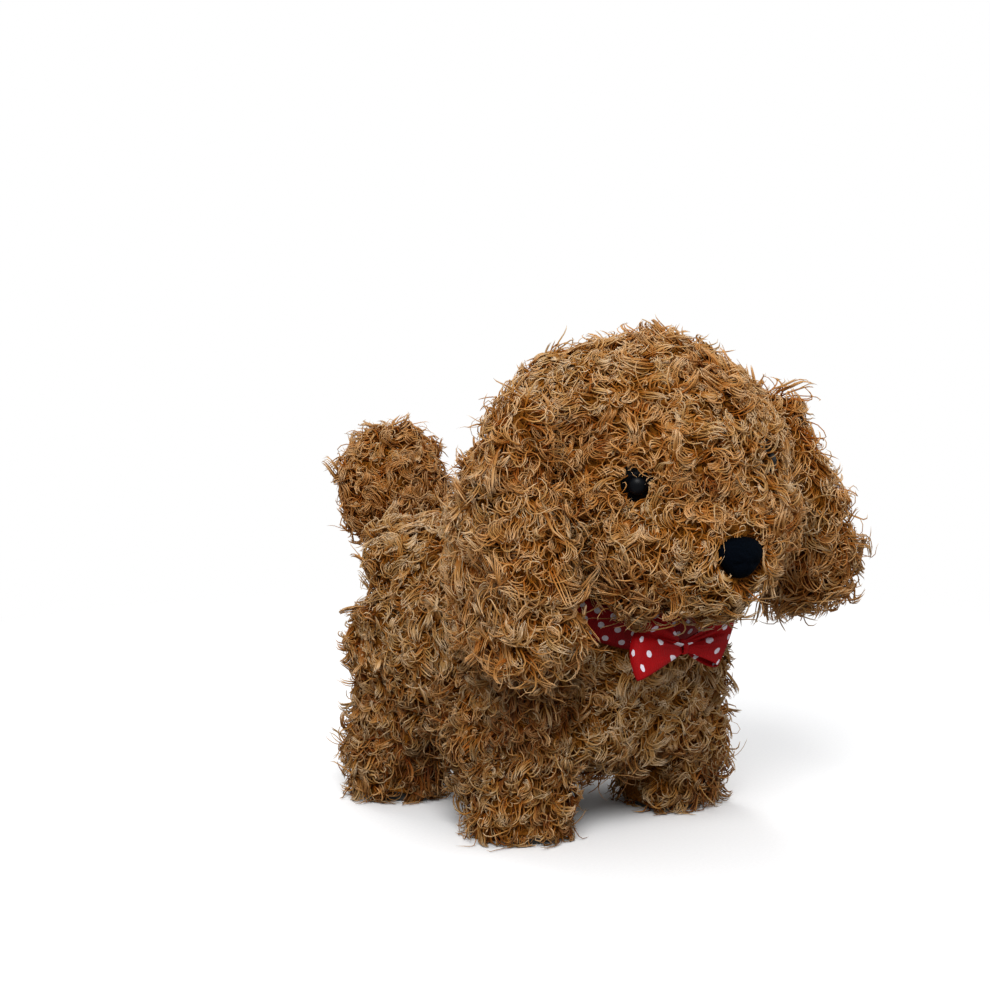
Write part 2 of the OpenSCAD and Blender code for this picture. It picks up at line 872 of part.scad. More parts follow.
// Short neck under the head ball
module neck_form() {
    translate(collar_pos) rotate([collar_tip, 0, 0]) translate([0, 0, -30])
        cylinder(r = collar_r - collar_t - 1.5, h = 44);
}

// Side outline of the room that one leg swings through, open at the bottom
module pocket_outline() {
    foot = foot_r + pocket_gap;
    top = hip_r + pocket_gap - 0.5;
    translate([0, hip_z]) circle(hip_r + pocket_gap);
    for (a = [-swing, 0, swing]) translate([0, hip_z]) rotate(a)
        polygon([[-top, 0], [-foot, 14 - hip_z], [-foot, -hip_z - 10], [foot, -hip_z - 10],
                 [foot, 14 - hip_z], [top, 0]]);
}

// Room for one leg to swing, with more room inwards for the round foot
module leg_pocket() {
    along_x(case_half_w + gap, 60) pocket_outline();
    block([leg_x - foot_r - 2, -foot_r - 9.5, 0], [60, foot_r + 9.5, 23.5]);
}

module body_plush() {
    color("peru") difference() {
        union() {
            body_form();
            neck_form();
        }
        along_x(-case_half_w - gap, case_half_w + gap) case_profile(-gap);
        for (s = [-1, 1], e = [-1, 1]) on_side(s) translate([0, e * hip_y, 0]) leg_pocket();
        at_head() sphere(r = head_r + 1.5, $fn = 64);
        translate([0, head_y - 40, head_z - 30]) rotate([0, 90, 0]) cylinder(r = 22, h = 100, center = true);
        collar_groove();
        block([-6, -60, case_top - 2], [6, -20, 130]);
        block([-12, -43, case_top - 1], [12, -23, case_top + 3.5]);
        block([-opening_half_w - 1.4, door_front - 1, 0], [opening_half_w + 1.4, door_back + 1, case_bottom + 2]);
        block([-8, switch_y - 5, 0], [8, switch_y + 5, case_bottom + 2]);
        bar_y(4.6, 40, 70, 0, tail_z);
    }
}

// Ribbon band round the neck
module collar_ribbon() {
    color("crimson") translate(collar_pos) rotate([collar_tip, 0, 0]) difference() {
        cylinder(r = collar_r, h = collar_w, center = true, $fn = 96);
        cylinder(r = collar_r - collar_t, h = collar_w + 1, center = true, $fn = 96);
    }
}

module collar_groove() {
    translate(collar_pos) rotate([collar_tip, 0, 0]) difference() {
        cylinder(r = collar_r + 8, h = collar_w + 1, center = true, $fn = 96);
        cylinder(r = collar_r - collar_t - gap, h = collar_w + 2, center = true, $fn = 96);
    }
}

// Flat ribbon bow at the throat
module bow() {
    color("crimson") translate(bow_pos) rotate([90 - collar_tip + 8, 0, 0]) translate([0, 0, -1.7]) {
        linear_extrude(3.4) polygon([[-22, -11], [-4, -4.5], [4, -4.5], [22, -11], [22, 11], [4, 4.5], [-4, 4.5],
                                     [-22, 11]]);
    }
}

// Move the layout so that the origin is under the middle of the toy's length
module placed() {
    translate([0, -(nose_end_y + tail_end_y) / 2, 0]) children();
}

placed() casing_right();
placed() casing_left();
placed() casing_screws();
placed() gearbox_plates();
placed() gear_axles();
placed() motor();
placed() battery_tray();
placed() battery_cells();
placed() battery_contacts();
placed() battery_door();
placed() door_screw();
placed() switch_housing();
placed() switch_slider();
placed() circuit_board();
placed() speaker();
placed() wires();
placed() crank_shaft();
placed() crank_gear();
placed() crank_disc_right();
placed() crank_disc_left();
placed() second_gear();
placed() first_gear();
placed() motor_pinion();
placed() side_rod_right();
placed() side_rod_left();
placed() leg_frame_front_right();
placed() leg_frame_front_left();
placed() leg_frame_rear_right();
placed() leg_frame_rear_left();
placed() hip_lever_front_right();
placed() hip_lever_front_left();
placed() hip_lever_rear_right();
placed() hip_lever_rear_left();
placed() foot_pad_front_right();
placed() foot_pad_front_left();
placed() foot_pad_rear_right();
placed() foot_pad_rear_left();
placed() leg_plush_front_right();
placed() leg_plush_front_left();
placed() leg_plush_rear_right();
placed() leg_plush_rear_left();
placed() neck_post();
placed() nod_pin();
placed() head_shell_right();
placed() head_shell_left();
placed() head_plush();
placed() nose();
placed() eyes();
placed() ear_right();
placed() ear_left();
placed() tail_lever();
placed() tail_arm();
placed() tail_plush();
placed() body_plush();
placed() collar_ribbon();
placed() bow();
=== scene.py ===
"""A walking plush puppy: curled pile, flocked nose and ribbon bow over its mechanism."""

import json
import math

import bmesh
import bpy
import numpy as np
from mathutils import Matrix, Vector
from mathutils.bvhtree import BVHTree
from mathutils.kdtree import KDTree


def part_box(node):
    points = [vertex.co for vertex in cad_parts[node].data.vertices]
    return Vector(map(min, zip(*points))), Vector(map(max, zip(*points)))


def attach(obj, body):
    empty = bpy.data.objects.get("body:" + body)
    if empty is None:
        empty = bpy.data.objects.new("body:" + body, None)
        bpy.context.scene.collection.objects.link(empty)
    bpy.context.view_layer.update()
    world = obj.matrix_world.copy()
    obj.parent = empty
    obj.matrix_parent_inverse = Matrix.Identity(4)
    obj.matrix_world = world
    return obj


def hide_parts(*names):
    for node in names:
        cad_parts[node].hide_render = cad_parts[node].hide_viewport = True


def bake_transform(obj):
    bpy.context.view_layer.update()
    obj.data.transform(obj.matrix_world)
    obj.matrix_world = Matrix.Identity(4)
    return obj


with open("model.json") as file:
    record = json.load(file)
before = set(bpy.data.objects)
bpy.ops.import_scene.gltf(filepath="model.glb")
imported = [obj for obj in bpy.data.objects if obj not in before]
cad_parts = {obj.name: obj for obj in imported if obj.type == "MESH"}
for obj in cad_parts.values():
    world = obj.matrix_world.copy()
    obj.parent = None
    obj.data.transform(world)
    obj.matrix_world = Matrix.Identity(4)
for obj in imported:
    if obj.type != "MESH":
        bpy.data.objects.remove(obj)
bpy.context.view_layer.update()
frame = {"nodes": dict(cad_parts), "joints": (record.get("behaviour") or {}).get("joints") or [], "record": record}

MM = 0.001
SEED = 2041
TAU = 2 * math.pi

# ---- Plush ----
SKIN_VOXEL = 2.0 * MM
SKIN_INSET = 1.5 * MM
STRAND_RINGS = 8
STRAND_RADIUS = 0.27 * MM
STRAND_PROFILE = (0.8, 1.0, 1.05, 1.05, 1.0, 0.95, 0.85, 0.65)  # thickness from root to tip
STRANDS_PER_PIECE = 4200
STRANDS_PER_LOCK = 8
LOOSE_SHARE = 0.2  # strands that don't follow their lock
WISP_SHARE = 0.1  # loose strands that are longer and thinner
LOCK_SPREAD = 0.38
SKIN_GAP = 2 * MM  # free room that holds no pile
FULL_ROOM = 7 * MM  # room over that gap that the pile needs for its full length
FLOOR_GAP = 0.6 * MM
DENSITY = 0.74  # strands per square millimetre

# ---- Places ----
PIVOTS = {j["name"]: Vector(j["pos_m"]) for j in frame["joints"] if "pos_m" in j}
HEAD_PIVOT = PIVOTS["head_nod"]
FEET_Y = (PIVOTS["front_right_leg_swing"].y + PIVOTS["rear_right_leg_swing"].y) / 2
FACE_TURN = math.radians(12)
FACE_TIP = math.radians(5)
EYE_SPREAD = math.radians(35)
COLLAR_TIP = math.radians(27)
BOW_TIP = math.radians(71)
COLLAR_RADIUS = 37 * MM
LEGS = [f"{end}_{side}" for end in ("front", "rear") for side in ("right", "left")]
FOOT_X = 33 * MM

# ---- Ribbon ----
WEAVE = 4 * MM  # unit of the ribbon's texture places
RIB_PITCH = 0.85 * MM
RIB_HEIGHT = 0.09 * MM
RIBBON_HALF = 7.0 * MM
RIBBON_THICK = 0.4 * MM

# ---- Nose and eyes ----
NOSE_HALF = (7.7 * MM, 6.7 * MM)  # across and up
NOSE_DOME = 6.2 * MM
NOSE_RIM = -1.5 * MM  # height of the dome's edge over the nose's middle
NOSE_BACK = 2.5 * MM
NOSTRIL_OFF = 2.6 * MM
NOSTRIL_HALF = (1.5 * MM, 0.9 * MM)
EYE_RIM_TOP = 0.2 * MM  # below this height an eye's rim is stretched upwards


def centre(*nodes):
    """Middle of the box round some CAD nodes."""
    low = np.min([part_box(n)[0] for n in nodes], axis=0)
    high = np.max([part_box(n)[1] for n in nodes], axis=0)
    return Vector((low + high) / 2)


def unit(v):
    """Rows of v scaled to length 1."""
    return v / np.maximum(np.linalg.norm(v, axis=-1, keepdims=True), 1e-12)


def at(x, y, z):
    """Place given in millimetres from the floor under the middle of the feet."""
    return Vector((x * MM, FEET_Y + y * MM, z * MM))


def field(points, wavelength, seed, waves=9):
    """Smooth random value over points, mostly -1 to 1, with features about a wavelength apart."""
    rng = np.random.default_rng(seed)
    heading = unit(rng.normal(size=(waves, 3)))
    scale = TAU / (wavelength * rng.uniform(0.7, 1.5, waves))
    phase = rng.uniform(0, TAU, waves)
    return np.sin(points @ (heading * scale[:, None]).T + phase).sum(axis=1) / math.sqrt(waves)


# ---- Materials ----
def new_material(name, **inputs):
    """A Principled material; its inputs are given by name with underscores for spaces."""
    material = bpy.data.materials.new(name)
    material.use_nodes = True
    shader = material.node_tree.nodes["Principled BSDF"]
    for key, value in inputs.items():
        shader.inputs[key.replace("_", " ")].default_value = value
    return material


def node(material, kind, inputs=None, **settings):
    """Adds a shader node. Each input is a value, or an output socket to link from."""
    made = material.node_tree.nodes.new(kind)
    for key, value in settings.items():
        setattr(made, key, value)
    for key, value in (inputs or {}).items():
        wire(material, value, made.inputs[key])
    return made


def wire(material, value, socket):
    """Links an output socket to an input, or sets the input's value."""
    if isinstance(value, bpy.types.NodeSocket):
        material.node_tree.links.new(value, socket)
    else:
        socket.default_value = value


def feed(material, **sockets):
    """Links sockets to the material's Principled inputs."""
    shader = material.node_tree.nodes["Principled BSDF"]
    for key, value in sockets.items():
        wire(material, value, shader.inputs[key.replace("_", " ")])


def ramp(material, value, *stops):
    """Colour ramp from (position, (r, g, b)) stops; returns its colour socket."""
    made = node(material, "ShaderNodeValToRGB", {"Fac": value})
    band = made.color_ramp.elements
    while len(band) < len(stops):
        band.new(0.5)
    for slot, (position, colour) in zip(band, stops):
        slot.position = position
        slot.color = (*colour, 1)
    return made.outputs["Color"]


def mixed(material, factor, a, b, blend="MIX"):
    """Colour socket of two colours mixed."""
    made = node(material, "ShaderNodeMix", {"Factor": factor}, data_type="RGBA", blend_type=blend)
    wire(material, a, made.inputs[6])
    wire(material, b, made.inputs[7])
    return made.outputs[2]


def noise(material, per_metre, detail=2.0):
    """Noise value at a scale given in features per metre of the piece."""
    place = node(material, "ShaderNodeTexCoord").outputs["Object"]
    made = node(material, "ShaderNodeTexNoise", {"Vector": place, "Scale": per_metre, "Detail": detail})
    return made.outputs["Fac"]


def vector(material, operation, *inputs):
    """Vector maths on its inputs; returns the vector socket, or the value socket of a length."""
    made = node(material, "ShaderNodeVectorMath", dict(enumerate(inputs)), operation=operation)
    return made.outputs["Value" if operation == "LENGTH" else "Vector"]


def bump(material, height, strength, distance):
    """Bump from a height value; returns the normal socket."""
    made = node(material, "ShaderNodeBump", {"Height": height, "Strength": strength, "Distance": distance})
    return made.outputs["Normal"]


def fur_material():
    """Curled pile: dark at the root, pale at the tip, partly its own colour and partly painted shade in the pile's
    depth and painted highlights on the tips; each strand with its own tone.
    """
    made = new_material("curled_pile", Roughness=0.6, Specular_IOR_Level=0.16)
    uv = node(made, "ShaderNodeUVMap", uv_map="OFBake").outputs["UV"]
    split = node(made, "ShaderNodeSeparateXYZ", {"Vector": uv})
    # Root to tip: the dark root is partly painted shade deep in the pile, the pale tip partly a painted highlight.
    along = ramp(
        made,
        split.outputs["Y"],
        (0.0, (0.09, 0.021, 0.0006)),
        (0.28, (0.35, 0.125, 0.007)),
        (0.6, (0.50, 0.295, 0.115)),
        (0.85, (0.69, 0.505, 0.335)),
        (1.0, (0.81, 0.67, 0.55)),
    )
    tone = ramp(
        made,
        split.outputs["X"],
        (0.0, (0.38, 0.20, 0.07)),
        (0.15, (0.86, 0.61, 0.34)),
        (0.325, (1.0, 0.90, 0.72)),
        (0.335, (0.34, 0.20, 0.10)),
        (0.48, (0.84, 0.67, 0.45)),
        (0.658, (1.0, 0.98, 0.88)),
        (0.668, (0.31, 0.235, 0.15)),
        (0.82, (0.82, 0.77, 0.64)),
        (1.0, (1.0, 1.0, 0.95)),
    )
    feed(made, Base_Color=mixed(made, 1.0, along, tone, "MULTIPLY"))
    return made


def skin_material():
    """Brown knitted backing seen between the strands, its darkness partly its own colour and partly painted shade
    in the gaps of the pile.
    """
    made = new_material("plush_backing", Roughness=0.95, Specular_IOR_Level=0.05)
    tufts = noise(made, 700, 3.0)
    brown = ramp(made, tufts, (0.3, (0.10, 0.030, 0.002)), (0.75, (0.28, 0.10, 0.012)))
    feed(made, Base_Color=brown, Normal=bump(made, tufts, 0.8, 0.0012))
    return made


def dots(material, pitch, rows, radius):
    """White inside round dots in staggered rows; lengths are counted in WEAVE units."""
    uv = node(material, "ShaderNodeUVMap", uv_map="weave").outputs["UV"]
    cells = vector(material, "MULTIPLY", uv, (1 / pitch, 1 / rows, 0))
    spans = []
    for shift in (0.5, 1.0):
        moved = vector(material, "ADD", cells, (shift, shift, 0))
        part = vector(material, "FRACTION", moved)
        off = vector(material, "SUBTRACT", part, (0.5, 0.5, 0))
        gap = vector(material, "MULTIPLY", off, (pitch, rows, 0))
        spans.append(vector(material, "LENGTH", gap))
    near = node(material, "ShaderNodeMath", dict(enumerate(spans)), operation="MINIMUM").outputs[0]
    return ramp(material, near, (0.0, (1, 1, 1)), (radius * 0.93, (1, 1, 1)), (radius, (0, 0, 0)))


def ribbon_material(name, pitch, rows, radius, depth=1.0):
    """Deep red grosgrain with printed white dots; depth below 1 darkens all of it as painted shade."""
    made = new_material(name, Roughness=0.65, Specular_IOR_Level=0.12)
    grain = noise(made, 2500, 2.0)
    red = ramp(made, grain, (0.3, (0.22 * depth, 0.0005, 0.0015)), (0.7, (0.33 * depth, 0.001, 0.003)))
    shadow, light = (tuple(depth * v for v in colour) for colour in ((0.58, 0.52, 0.60), (0.74, 0.69, 0.76)))
    white = ramp(made, grain, (0.3, shadow), (0.7, light))
    inside = dots(made, pitch * MM / WEAVE, rows * MM / WEAVE, radius * MM / WEAVE)
    feed(made, Base_Color=mixed(made, inside, red, white), Normal=bump(made, grain, 0.35, 0.0002))
    return made


def flock_material():
    """Blue-black velvet of the nose."""
    made = new_material("nose_flock", Roughness=0.9, Specular_IOR_Level=0.03)
    grain = noise(made, 1800, 3.0)
    black = ramp(made, grain, (0.3, (0.0003, 0.0009, 0.002)), (0.8, (0.001, 0.0026, 0.0055)))
    feed(made, Base_Color=black, Normal=bump(made, grain, 0.6, 0.0003))
    return made


def eye_material():
    """Near-black bead with a soft shine."""
    made = new_material("eye_bead", Roughness=0.38, Specular_IOR_Level=0.12)
    grain = noise(made, 160, 1.0)
    feed(made, Base_Color=ramp(made, grain, (0.3, (0.0005, 0.0008, 0.0014)), (0.8, (0.002, 0.003, 0.005))))
    return made


def moulded_material(name, low, high, scale, rough, metallic=0.0, depth=0.00004):
    """A moulded or metal part: two close colours in a fine mottle, worn roughness and a light bump."""
    made = new_material(name, Metallic=metallic, Specular_IOR_Level=0.4)
    mottle = noise(made, scale, 4.0)
    worn = noise(made, scale * 6, 2.0)
    shade = node(made, "ShaderNodeMapRange", {"Value": worn, "To Min": rough * 0.8, "To Max": rough * 1.25})
    feed(
        made,
        Base_Color=ramp(made, mottle, (0.3, low), (0.7, high)),
        Roughness=shade.outputs["Result"],
        Normal=bump(made, worn, 0.5, depth),
    )
    return made


def banded_material(name, axis, rough, *stops):
    """A part whose colour changes along one axis of its own box, with a faint mottle."""
    made = new_material(name, Roughness=rough, Specular_IOR_Level=0.4)
    place = node(made, "ShaderNodeTexCoord").outputs["Generated"]
    split = node(made, "ShaderNodeSeparateXYZ", {"Vector": place})
    mottle = noise(made, 900, 2.0)
    shade = ramp(made, mottle, (0.2, (0.85, 0.85, 0.85)), (0.8, (1, 1, 1)))
    colour = ramp(made, split.outputs[axis], *stops)
    shaded = mixed(made, 1.0, colour, shade, "MULTIPLY")
    feed(made, Base_Color=shaded, Normal=bump(made, mottle, 0.3, 0.00005))
    return made


# ---- Mesh helpers ----
def mesh_object(name, points, faces, material):
    """A mesh piece from an array of points and an array of equal-sided faces."""
    mesh = bpy.data.meshes.new(name)
    mesh.from_pydata(np.asarray(points).tolist(), [], np.asarray(faces).tolist())
    mesh.shade_smooth()
    made = bpy.data.objects.new(name, mesh)
    bpy.context.scene.collection.objects.link(made)
    mesh.materials.append(material)
    return made


def settle_modifiers(piece):
    """Turns a piece's modifiers into its mesh."""
    graph = bpy.context.evaluated_depsgraph_get()
    mesh = bpy.data.meshes.new_from_object(piece.evaluated_get(graph))
    piece.modifiers.clear()
    piece.data = mesh


def skin(cad_node, name, material, smooth=8, pushes=(), balls=()):
    """Plush backing over a CAD soft solid: remeshed, rounded, drawn in by the pile's root depth.

    pushes holds (spot, reach, move) for bulges and hollows, the last two in millimetres.
    balls holds (spot, radius) for added padding.
    """
    made = bpy.data.objects.new(name, frame["nodes"][cad_node].data.copy())
    bpy.context.scene.collection.objects.link(made)
    padding = bmesh.new()
    padding.from_mesh(made.data)
    for spot, radius in balls:
        ball = bmesh.ops.create_icosphere(padding, subdivisions=3, radius=radius)["verts"]
        bmesh.ops.translate(padding, verts=ball, vec=spot)
    padding.to_mesh(made.data)
    padding.free()
    remesh = made.modifiers.new("remesh", "REMESH")
    remesh.mode = "VOXEL"
    remesh.voxel_size = SKIN_VOXEL
    remesh.use_smooth_shade = True
    rounding = made.modifiers.new("round", "SMOOTH")
    rounding.factor = 0.5
    rounding.iterations = smooth
    settle_modifiers(made)
    points, _, normals = arrays(made)
    lumps = 1.1 * MM * field(points, 16 * MM, SEED + 5) + 0.5 * MM * field(points, 8 * MM, SEED + 6)
    points = points + normals * (lumps - SKIN_INSET)[:, None]
    for spot, reach, move in pushes:
        distance = np.linalg.norm(points - np.array(spot), axis=1)
        points = points + np.exp(-((distance / (reach * MM)) ** 2))[:, None] * np.array(move) * MM
    made.data.vertices.foreach_set("co", points.astype(np.float32).ravel())
    made.data.materials.clear()
    made.data.materials.append(material)
    made.data.update()
    return made


def arrays(piece):
    """(points, triangles, normals at the points) of a mesh piece as numpy arrays."""
    mesh = piece.data
    count = len(mesh.vertices)
    points = np.zeros(count * 3, np.float32)
    normals = np.zeros(count * 3, np.float32)
    mesh.vertices.foreach_get("co", points)
    mesh.vertex_normals.foreach_get("vector", normals)
    mesh.calc_loop_triangles()
    triangles = np.zeros(len(mesh.loop_triangles) * 3, np.int32)
    mesh.loop_triangles.foreach_get("vertices", triangles)
    points, normals = (values.reshape(-1, 3).astype(float) for values in (points, normals))
    return points, triangles.reshape(-1, 3), normals


def surface_tree(pieces):
    """One search tree over the surfaces of some pieces."""
    points, triangles, first = [], [], 0
    for piece in pieces:
        p, t, _ = arrays(piece)
        points.append(p)
        triangles.append(t + first)
        first += len(p)
    return BVHTree.FromPolygons(np.concatenate(points).tolist(), np.concatenate(triangles).tolist())


def grid_faces(rows, columns, closed=False, looped=False):
    """Quads of a grid of points, its columns joined round when closed and its rows when looped."""
    faces = []
    for i in range(rows if looped else rows - 1):
        low, high = i * columns, (i + 1) % rows * columns
        for j in range(columns if closed else columns - 1):
            k = (j + 1) % columns
            faces.append((low + j, low + k, high + k, high + j))
    return faces


def close_rims(piece, *rims, merge=0.0):
    """Puts a face over each rim of point numbers, merges points nearer than merge and faces all outwards."""
    edit = bmesh.new()
    edit.from_mesh(piece.data)
    edit.verts.ensure_lookup_table()
    for rim in rims:
        edit.faces.new([edit.verts[i] for i in rim])
    if merge:
        bmesh.ops.remove_doubles(edit, verts=edit.verts, dist=merge)
    bmesh.ops.recalc_face_normals(edit, faces=edit.faces)
    edit.to_mesh(piece.data)
    edit.free()
    piece.data.shade_smooth()


def frame_of(normal, up=(0, 0, 1)):
    """Right, up and outward unit vectors of a place facing along normal."""
    out = unit(np.array(normal, float))
    right = unit(np.cross(np.array(up, float), out))
    return right, np.cross(out, right), out


# ---- Nose, eyes and ribbon ----
def nose_pad(name, place, normal, material):
    """Domed velvet pad with a rounded three-cornered outline, closed behind, with two shallow nostrils."""
    right, up, out = frame_of(normal)
    columns, rows = 64, 14
    angle = np.arange(columns) * TAU / columns
    outline = 1 + 0.055 * np.cos(3 * (angle + math.pi / 2)) + 0.03 * np.sin(angle)
    points = []
    for i in range(rows + 1):
        t = i / rows
        reach = math.sin(t * math.pi / 2)
        level = NOSE_RIM + NOSE_DOME * math.cos(t * math.pi / 2) ** 0.8
        x = NOSE_HALF[0] * reach * outline * np.cos(angle)
        y = NOSE_HALF[1] * reach * outline * np.sin(angle)
        x = x * (1 + 0.12 * np.sin(angle) * reach)
        dent = 0
        for side in (-1, 1):
            off = ((x - side * NOSTRIL_OFF) / NOSTRIL_HALF[0]) ** 2 + ((y + 1.4 * MM) / NOSTRIL_HALF[1]) ** 2
            dent = dent + np.exp(-off)
        fold = np.exp(-((x / (0.5 * MM)) ** 2)) * (y < 0)
        ring = np.array(place) + x[:, None] * right + y[:, None] * up
        points.append(ring + (level - 0.9 * MM * dent - 0.35 * MM * fold)[:, None] * out)
    points.append(points[-1] * 0.75 + points[0] * 0.25 - NOSE_BACK * out)
    points = np.concatenate(points)
    points = points + 0.12 * MM * field(points, 1.6 * MM, SEED + 31)[:, None] * out
    faces = [tuple(reversed(f)) for f in grid_faces(rows + 2, columns, closed=True)]
    piece = mesh_object(name, points, faces, material)
    last = (rows + 1) * columns
    close_rims(piece, [last + j for j in reversed(range(columns))], merge=0.02 * MM)
    return piece


def turned(name, place, normal, profile, material, tall=1.0, columns=40):
    """Closed solid of revolution from (radius, height) pairs, stretched upwards below EYE_RIM_TOP."""
    right, up, out = frame_of(normal)
    angle = np.arange(columns) * TAU / columns
    points = []
    for radius, height in profile:
        stretch = tall if height < EYE_RIM_TOP else 1.0
        ring = np.cos(angle)[:, None] * right + stretch * np.sin(angle)[:, None] * up
        points.append(np.array(place) + radius * ring + height * out)
    faces = grid_faces(len(profile), columns, closed=True)
    piece = mesh_object(name, np.concatenate(points), faces, material)
    last = (len(profile) - 1) * columns
    close_rims(piece, list(reversed(range(columns))), [last + j for j in range(columns)])
    return piece


def weave_layer(piece, place):
    """Texture layer of a ribbon from each point's place along and across it."""
    loops = np.zeros(len(piece.data.loops), np.int32)
    piece.data.loops.foreach_get("vertex_index", loops)
    layer = piece.data.uv_layers.new(name="weave")
    layer.data.foreach_set("uv", (place[loops] / WEAVE).astype(np.float32).ravel())


def ribs(along):
    """Height of the ribbon's cross ribs at a distance along it."""
    return RIB_HEIGHT * np.abs(np.cos(math.pi * along / RIB_PITCH))


def collar_band(name, place, material):
    """Ribbed ribbon ring round the neck, tipped forward, with soft waves and thin rolled edges."""
    turns = int(TAU * COLLAR_RADIUS / RIB_PITCH)
    columns = turns * 6
    angle = np.arange(columns) * TAU / columns
    along = angle * turns * RIB_PITCH / TAU
    across = np.concatenate([np.linspace(-1, 1, 9), np.linspace(1, -1, 5)])
    side = np.array([1.0] * 9 + [-1.0] * 5)
    side[[0, 8, 9, 13]] *= 0.45
    ring = np.stack([np.sin(angle), -np.cos(angle), np.zeros(columns)], axis=1)
    tip = np.array(Matrix.Rotation(COLLAR_TIP, 3, "X"))
    rows, places = [], []
    for b, face in zip(across, side):
        wave = 0.5 * MM * field(ring * COLLAR_RADIUS + np.array((0, 0, b * 3 * MM)), 26 * MM, SEED + 41)
        sag = 0.5 * MM * field(ring * COLLAR_RADIUS, 34 * MM, SEED + 42)
        radius = COLLAR_RADIUS - 0.9 * MM + wave + face * RIBBON_THICK / 2 - 0.5 * MM * b**2
        radius = radius + (ribs(along) if face > 0.5 else 0)
        lift = np.stack([0 * along, 0 * along, b * RIBBON_HALF + sag], axis=1)
        rows.append(ring * radius[:, None] + lift)
        places.append(np.stack([along, np.full(columns, b * RIBBON_HALF)], axis=1))
    points = np.concatenate(rows) @ tip.T + np.array(place)
    piece = mesh_object(name, points, grid_faces(len(rows), columns, closed=True, looped=True), material)
    weave_layer(piece, np.concatenate(places))
    return piece


def bow_lobe(name, place, normal, top, middle, bottom, crease, material, seed):
    """One ribbon loop of the bow. Its folded end runs through three corners given in the bow's plane."""
    right, up, out = frame_of(normal)
    rows, columns = 41, 220
    b = np.linspace(-1, 1, rows)[:, None]
    t = (b + 1) / 2
    top, middle, bottom = (np.array(c) * MM for c in (top, middle, bottom))
    control = 2 * middle - (top + bottom) / 2
    share = t[..., None]
    end = (1 - share) ** 2 * bottom + 2 * share * (1 - share) * control + share**2 * top
    side = np.sign(middle[0])
    pinch = np.concatenate([0 * b + side * 0.9 * MM, 2.0 * MM * b], axis=1)[:, None, :]
    loop = np.linspace(0, 2, columns)[None, :]
    a = np.where(loop < 1, loop, 2 - loop)
    reach = np.sin(a * math.pi / 2) ** 0.9
    flat = pinch + (end - pinch) * reach[..., None]
    front = np.where(loop < 1, 1.0, -0.7)
    bulge = front * 2.3 * MM * np.sin(math.pi * np.clip(a, 0, 1)) ** 0.8 * (1 - 0.25 * b**2)
    bulge = bulge + front * 0.9 * MM * np.sin(a * math.pi / 2) * np.cos(a * math.pi / 2) ** 0.5
    valley = np.exp(-(((b - 0.22 - 0.1 * a) / (0.10 + 0.10 * a)) ** 2)) * np.clip(1.15 - a / 0.75, 0, 1)
    bulge = bulge - front * crease * MM * valley
    pleat = np.cos(9 * b + seed) + 0.6 * np.cos(17 * b + 2 * seed)
    bulge = bulge + front * 0.28 * MM * pleat * (1 - a) ** 1.3 * np.sin(math.pi * np.clip(a * 2.2, 0, 0.5))
    curl = 1.1 * MM * b**2 * a**2
    points = np.array(place) + flat[..., :1] * right + flat[..., 1:] * up + (bulge + curl)[..., None] * out
    length = np.linalg.norm(middle)
    along = loop * length + 0 * b
    skin_normal = unit(np.cross(np.gradient(points, axis=1), np.gradient(points, axis=0)))
    skin_normal = skin_normal * np.sign((skin_normal[:, : columns // 2] @ out).sum())
    points = points + (ribs(along) * np.clip(a * 3, 0, 1))[..., None] * skin_normal
    piece = mesh_object(name, points.reshape(-1, 3), grid_faces(rows, columns), material)
    half = np.linalg.norm(top - bottom) / 2
    weave = np.stack([along + seed * 1.3 * MM, b * (2 * MM + (half - 2 * MM) * reach)], axis=-1)
    weave_layer(piece, weave.reshape(-1, 2))
    thick = piece.modifiers.new("thickness", "SOLIDIFY")
    thick.thickness = RIBBON_THICK
    thick.offset = 0
    settle_modifiers(piece)
    piece.data.shade_smooth()
    return piece


def bow_knot(name, place, normal, material):
    """Narrow ribbon wrap drawn tight round the middle of the bow."""
    right, up, out = frame_of(normal)
    columns = 96
    angle = np.arange(columns) * TAU / columns
    rows, places = [], []
    for b, side in zip((-1, -0.4, 0.4, 1, 1, -1), (1, 1, 1, 1, -1, -1)):
        deep = 1.5 * MM + 0.15 * MM * np.cos(5 * angle) - 0.2 * MM * b**2 + side * 0.2 * MM
        tall = deep + 0.9 * MM
        x = b * 1.1 * MM + 0.25 * MM * np.cos(2 * angle + 1)
        ring = (tall * np.sin(angle))[:, None] * up + (deep * np.cos(angle))[:, None] * out
        rows.append(np.array(place) + x[:, None] * right + ring)
        places.append(np.stack([angle * 2.2 * MM + 3 * MM, x + 8 * MM], axis=1))
    faces = grid_faces(len(rows), columns, closed=True, looped=True)
    piece = mesh_object(name, np.concatenate(rows), faces, material)
    weave_layer(piece, np.concatenate(places))
    return piece


# ---- Fur ----
def scatter(piece, rng, density):
    """Random root points on a skin, evenly by area, with their normals."""
    points, triangles, normals = arrays(piece)
    a, b, c = (points[triangles[:, i]] for i in range(3))
    area = np.linalg.norm(np.cross(b - a, c - a), axis=1) / 2
    count = int(area.sum() / MM**2 * density)
    chosen = rng.choice(len(triangles), count, p=area / area.sum())
    u, v = rng.random((2, count))
    flip = u + v > 1
    u[flip], v[flip] = 1 - u[flip], 1 - v[flip]
    w = 1 - u - v
    corner = triangles[chosen]
    u, v, w = u[:, None], v[:, None], w[:, None]
    root, normal = (
        w * values[corner[:, 0]] + u * values[corner[:, 1]] + v * values[corner[:, 2]]
        for values in (points, normals)
    )
    return root, unit(normal)


def room(root, normal, tree, reach=14 * MM):
    """Free distance over each root, up to reach, before the next surface."""
    free = np.full(len(root), reach)
    for i, (p, n) in enumerate(zip(root, normal)):
        hit = tree.ray_cast(Vector(p + n * 0.5 * MM), Vector(n), reach)
        if hit[3] is not None:
            free[i] = hit[3]
    return free


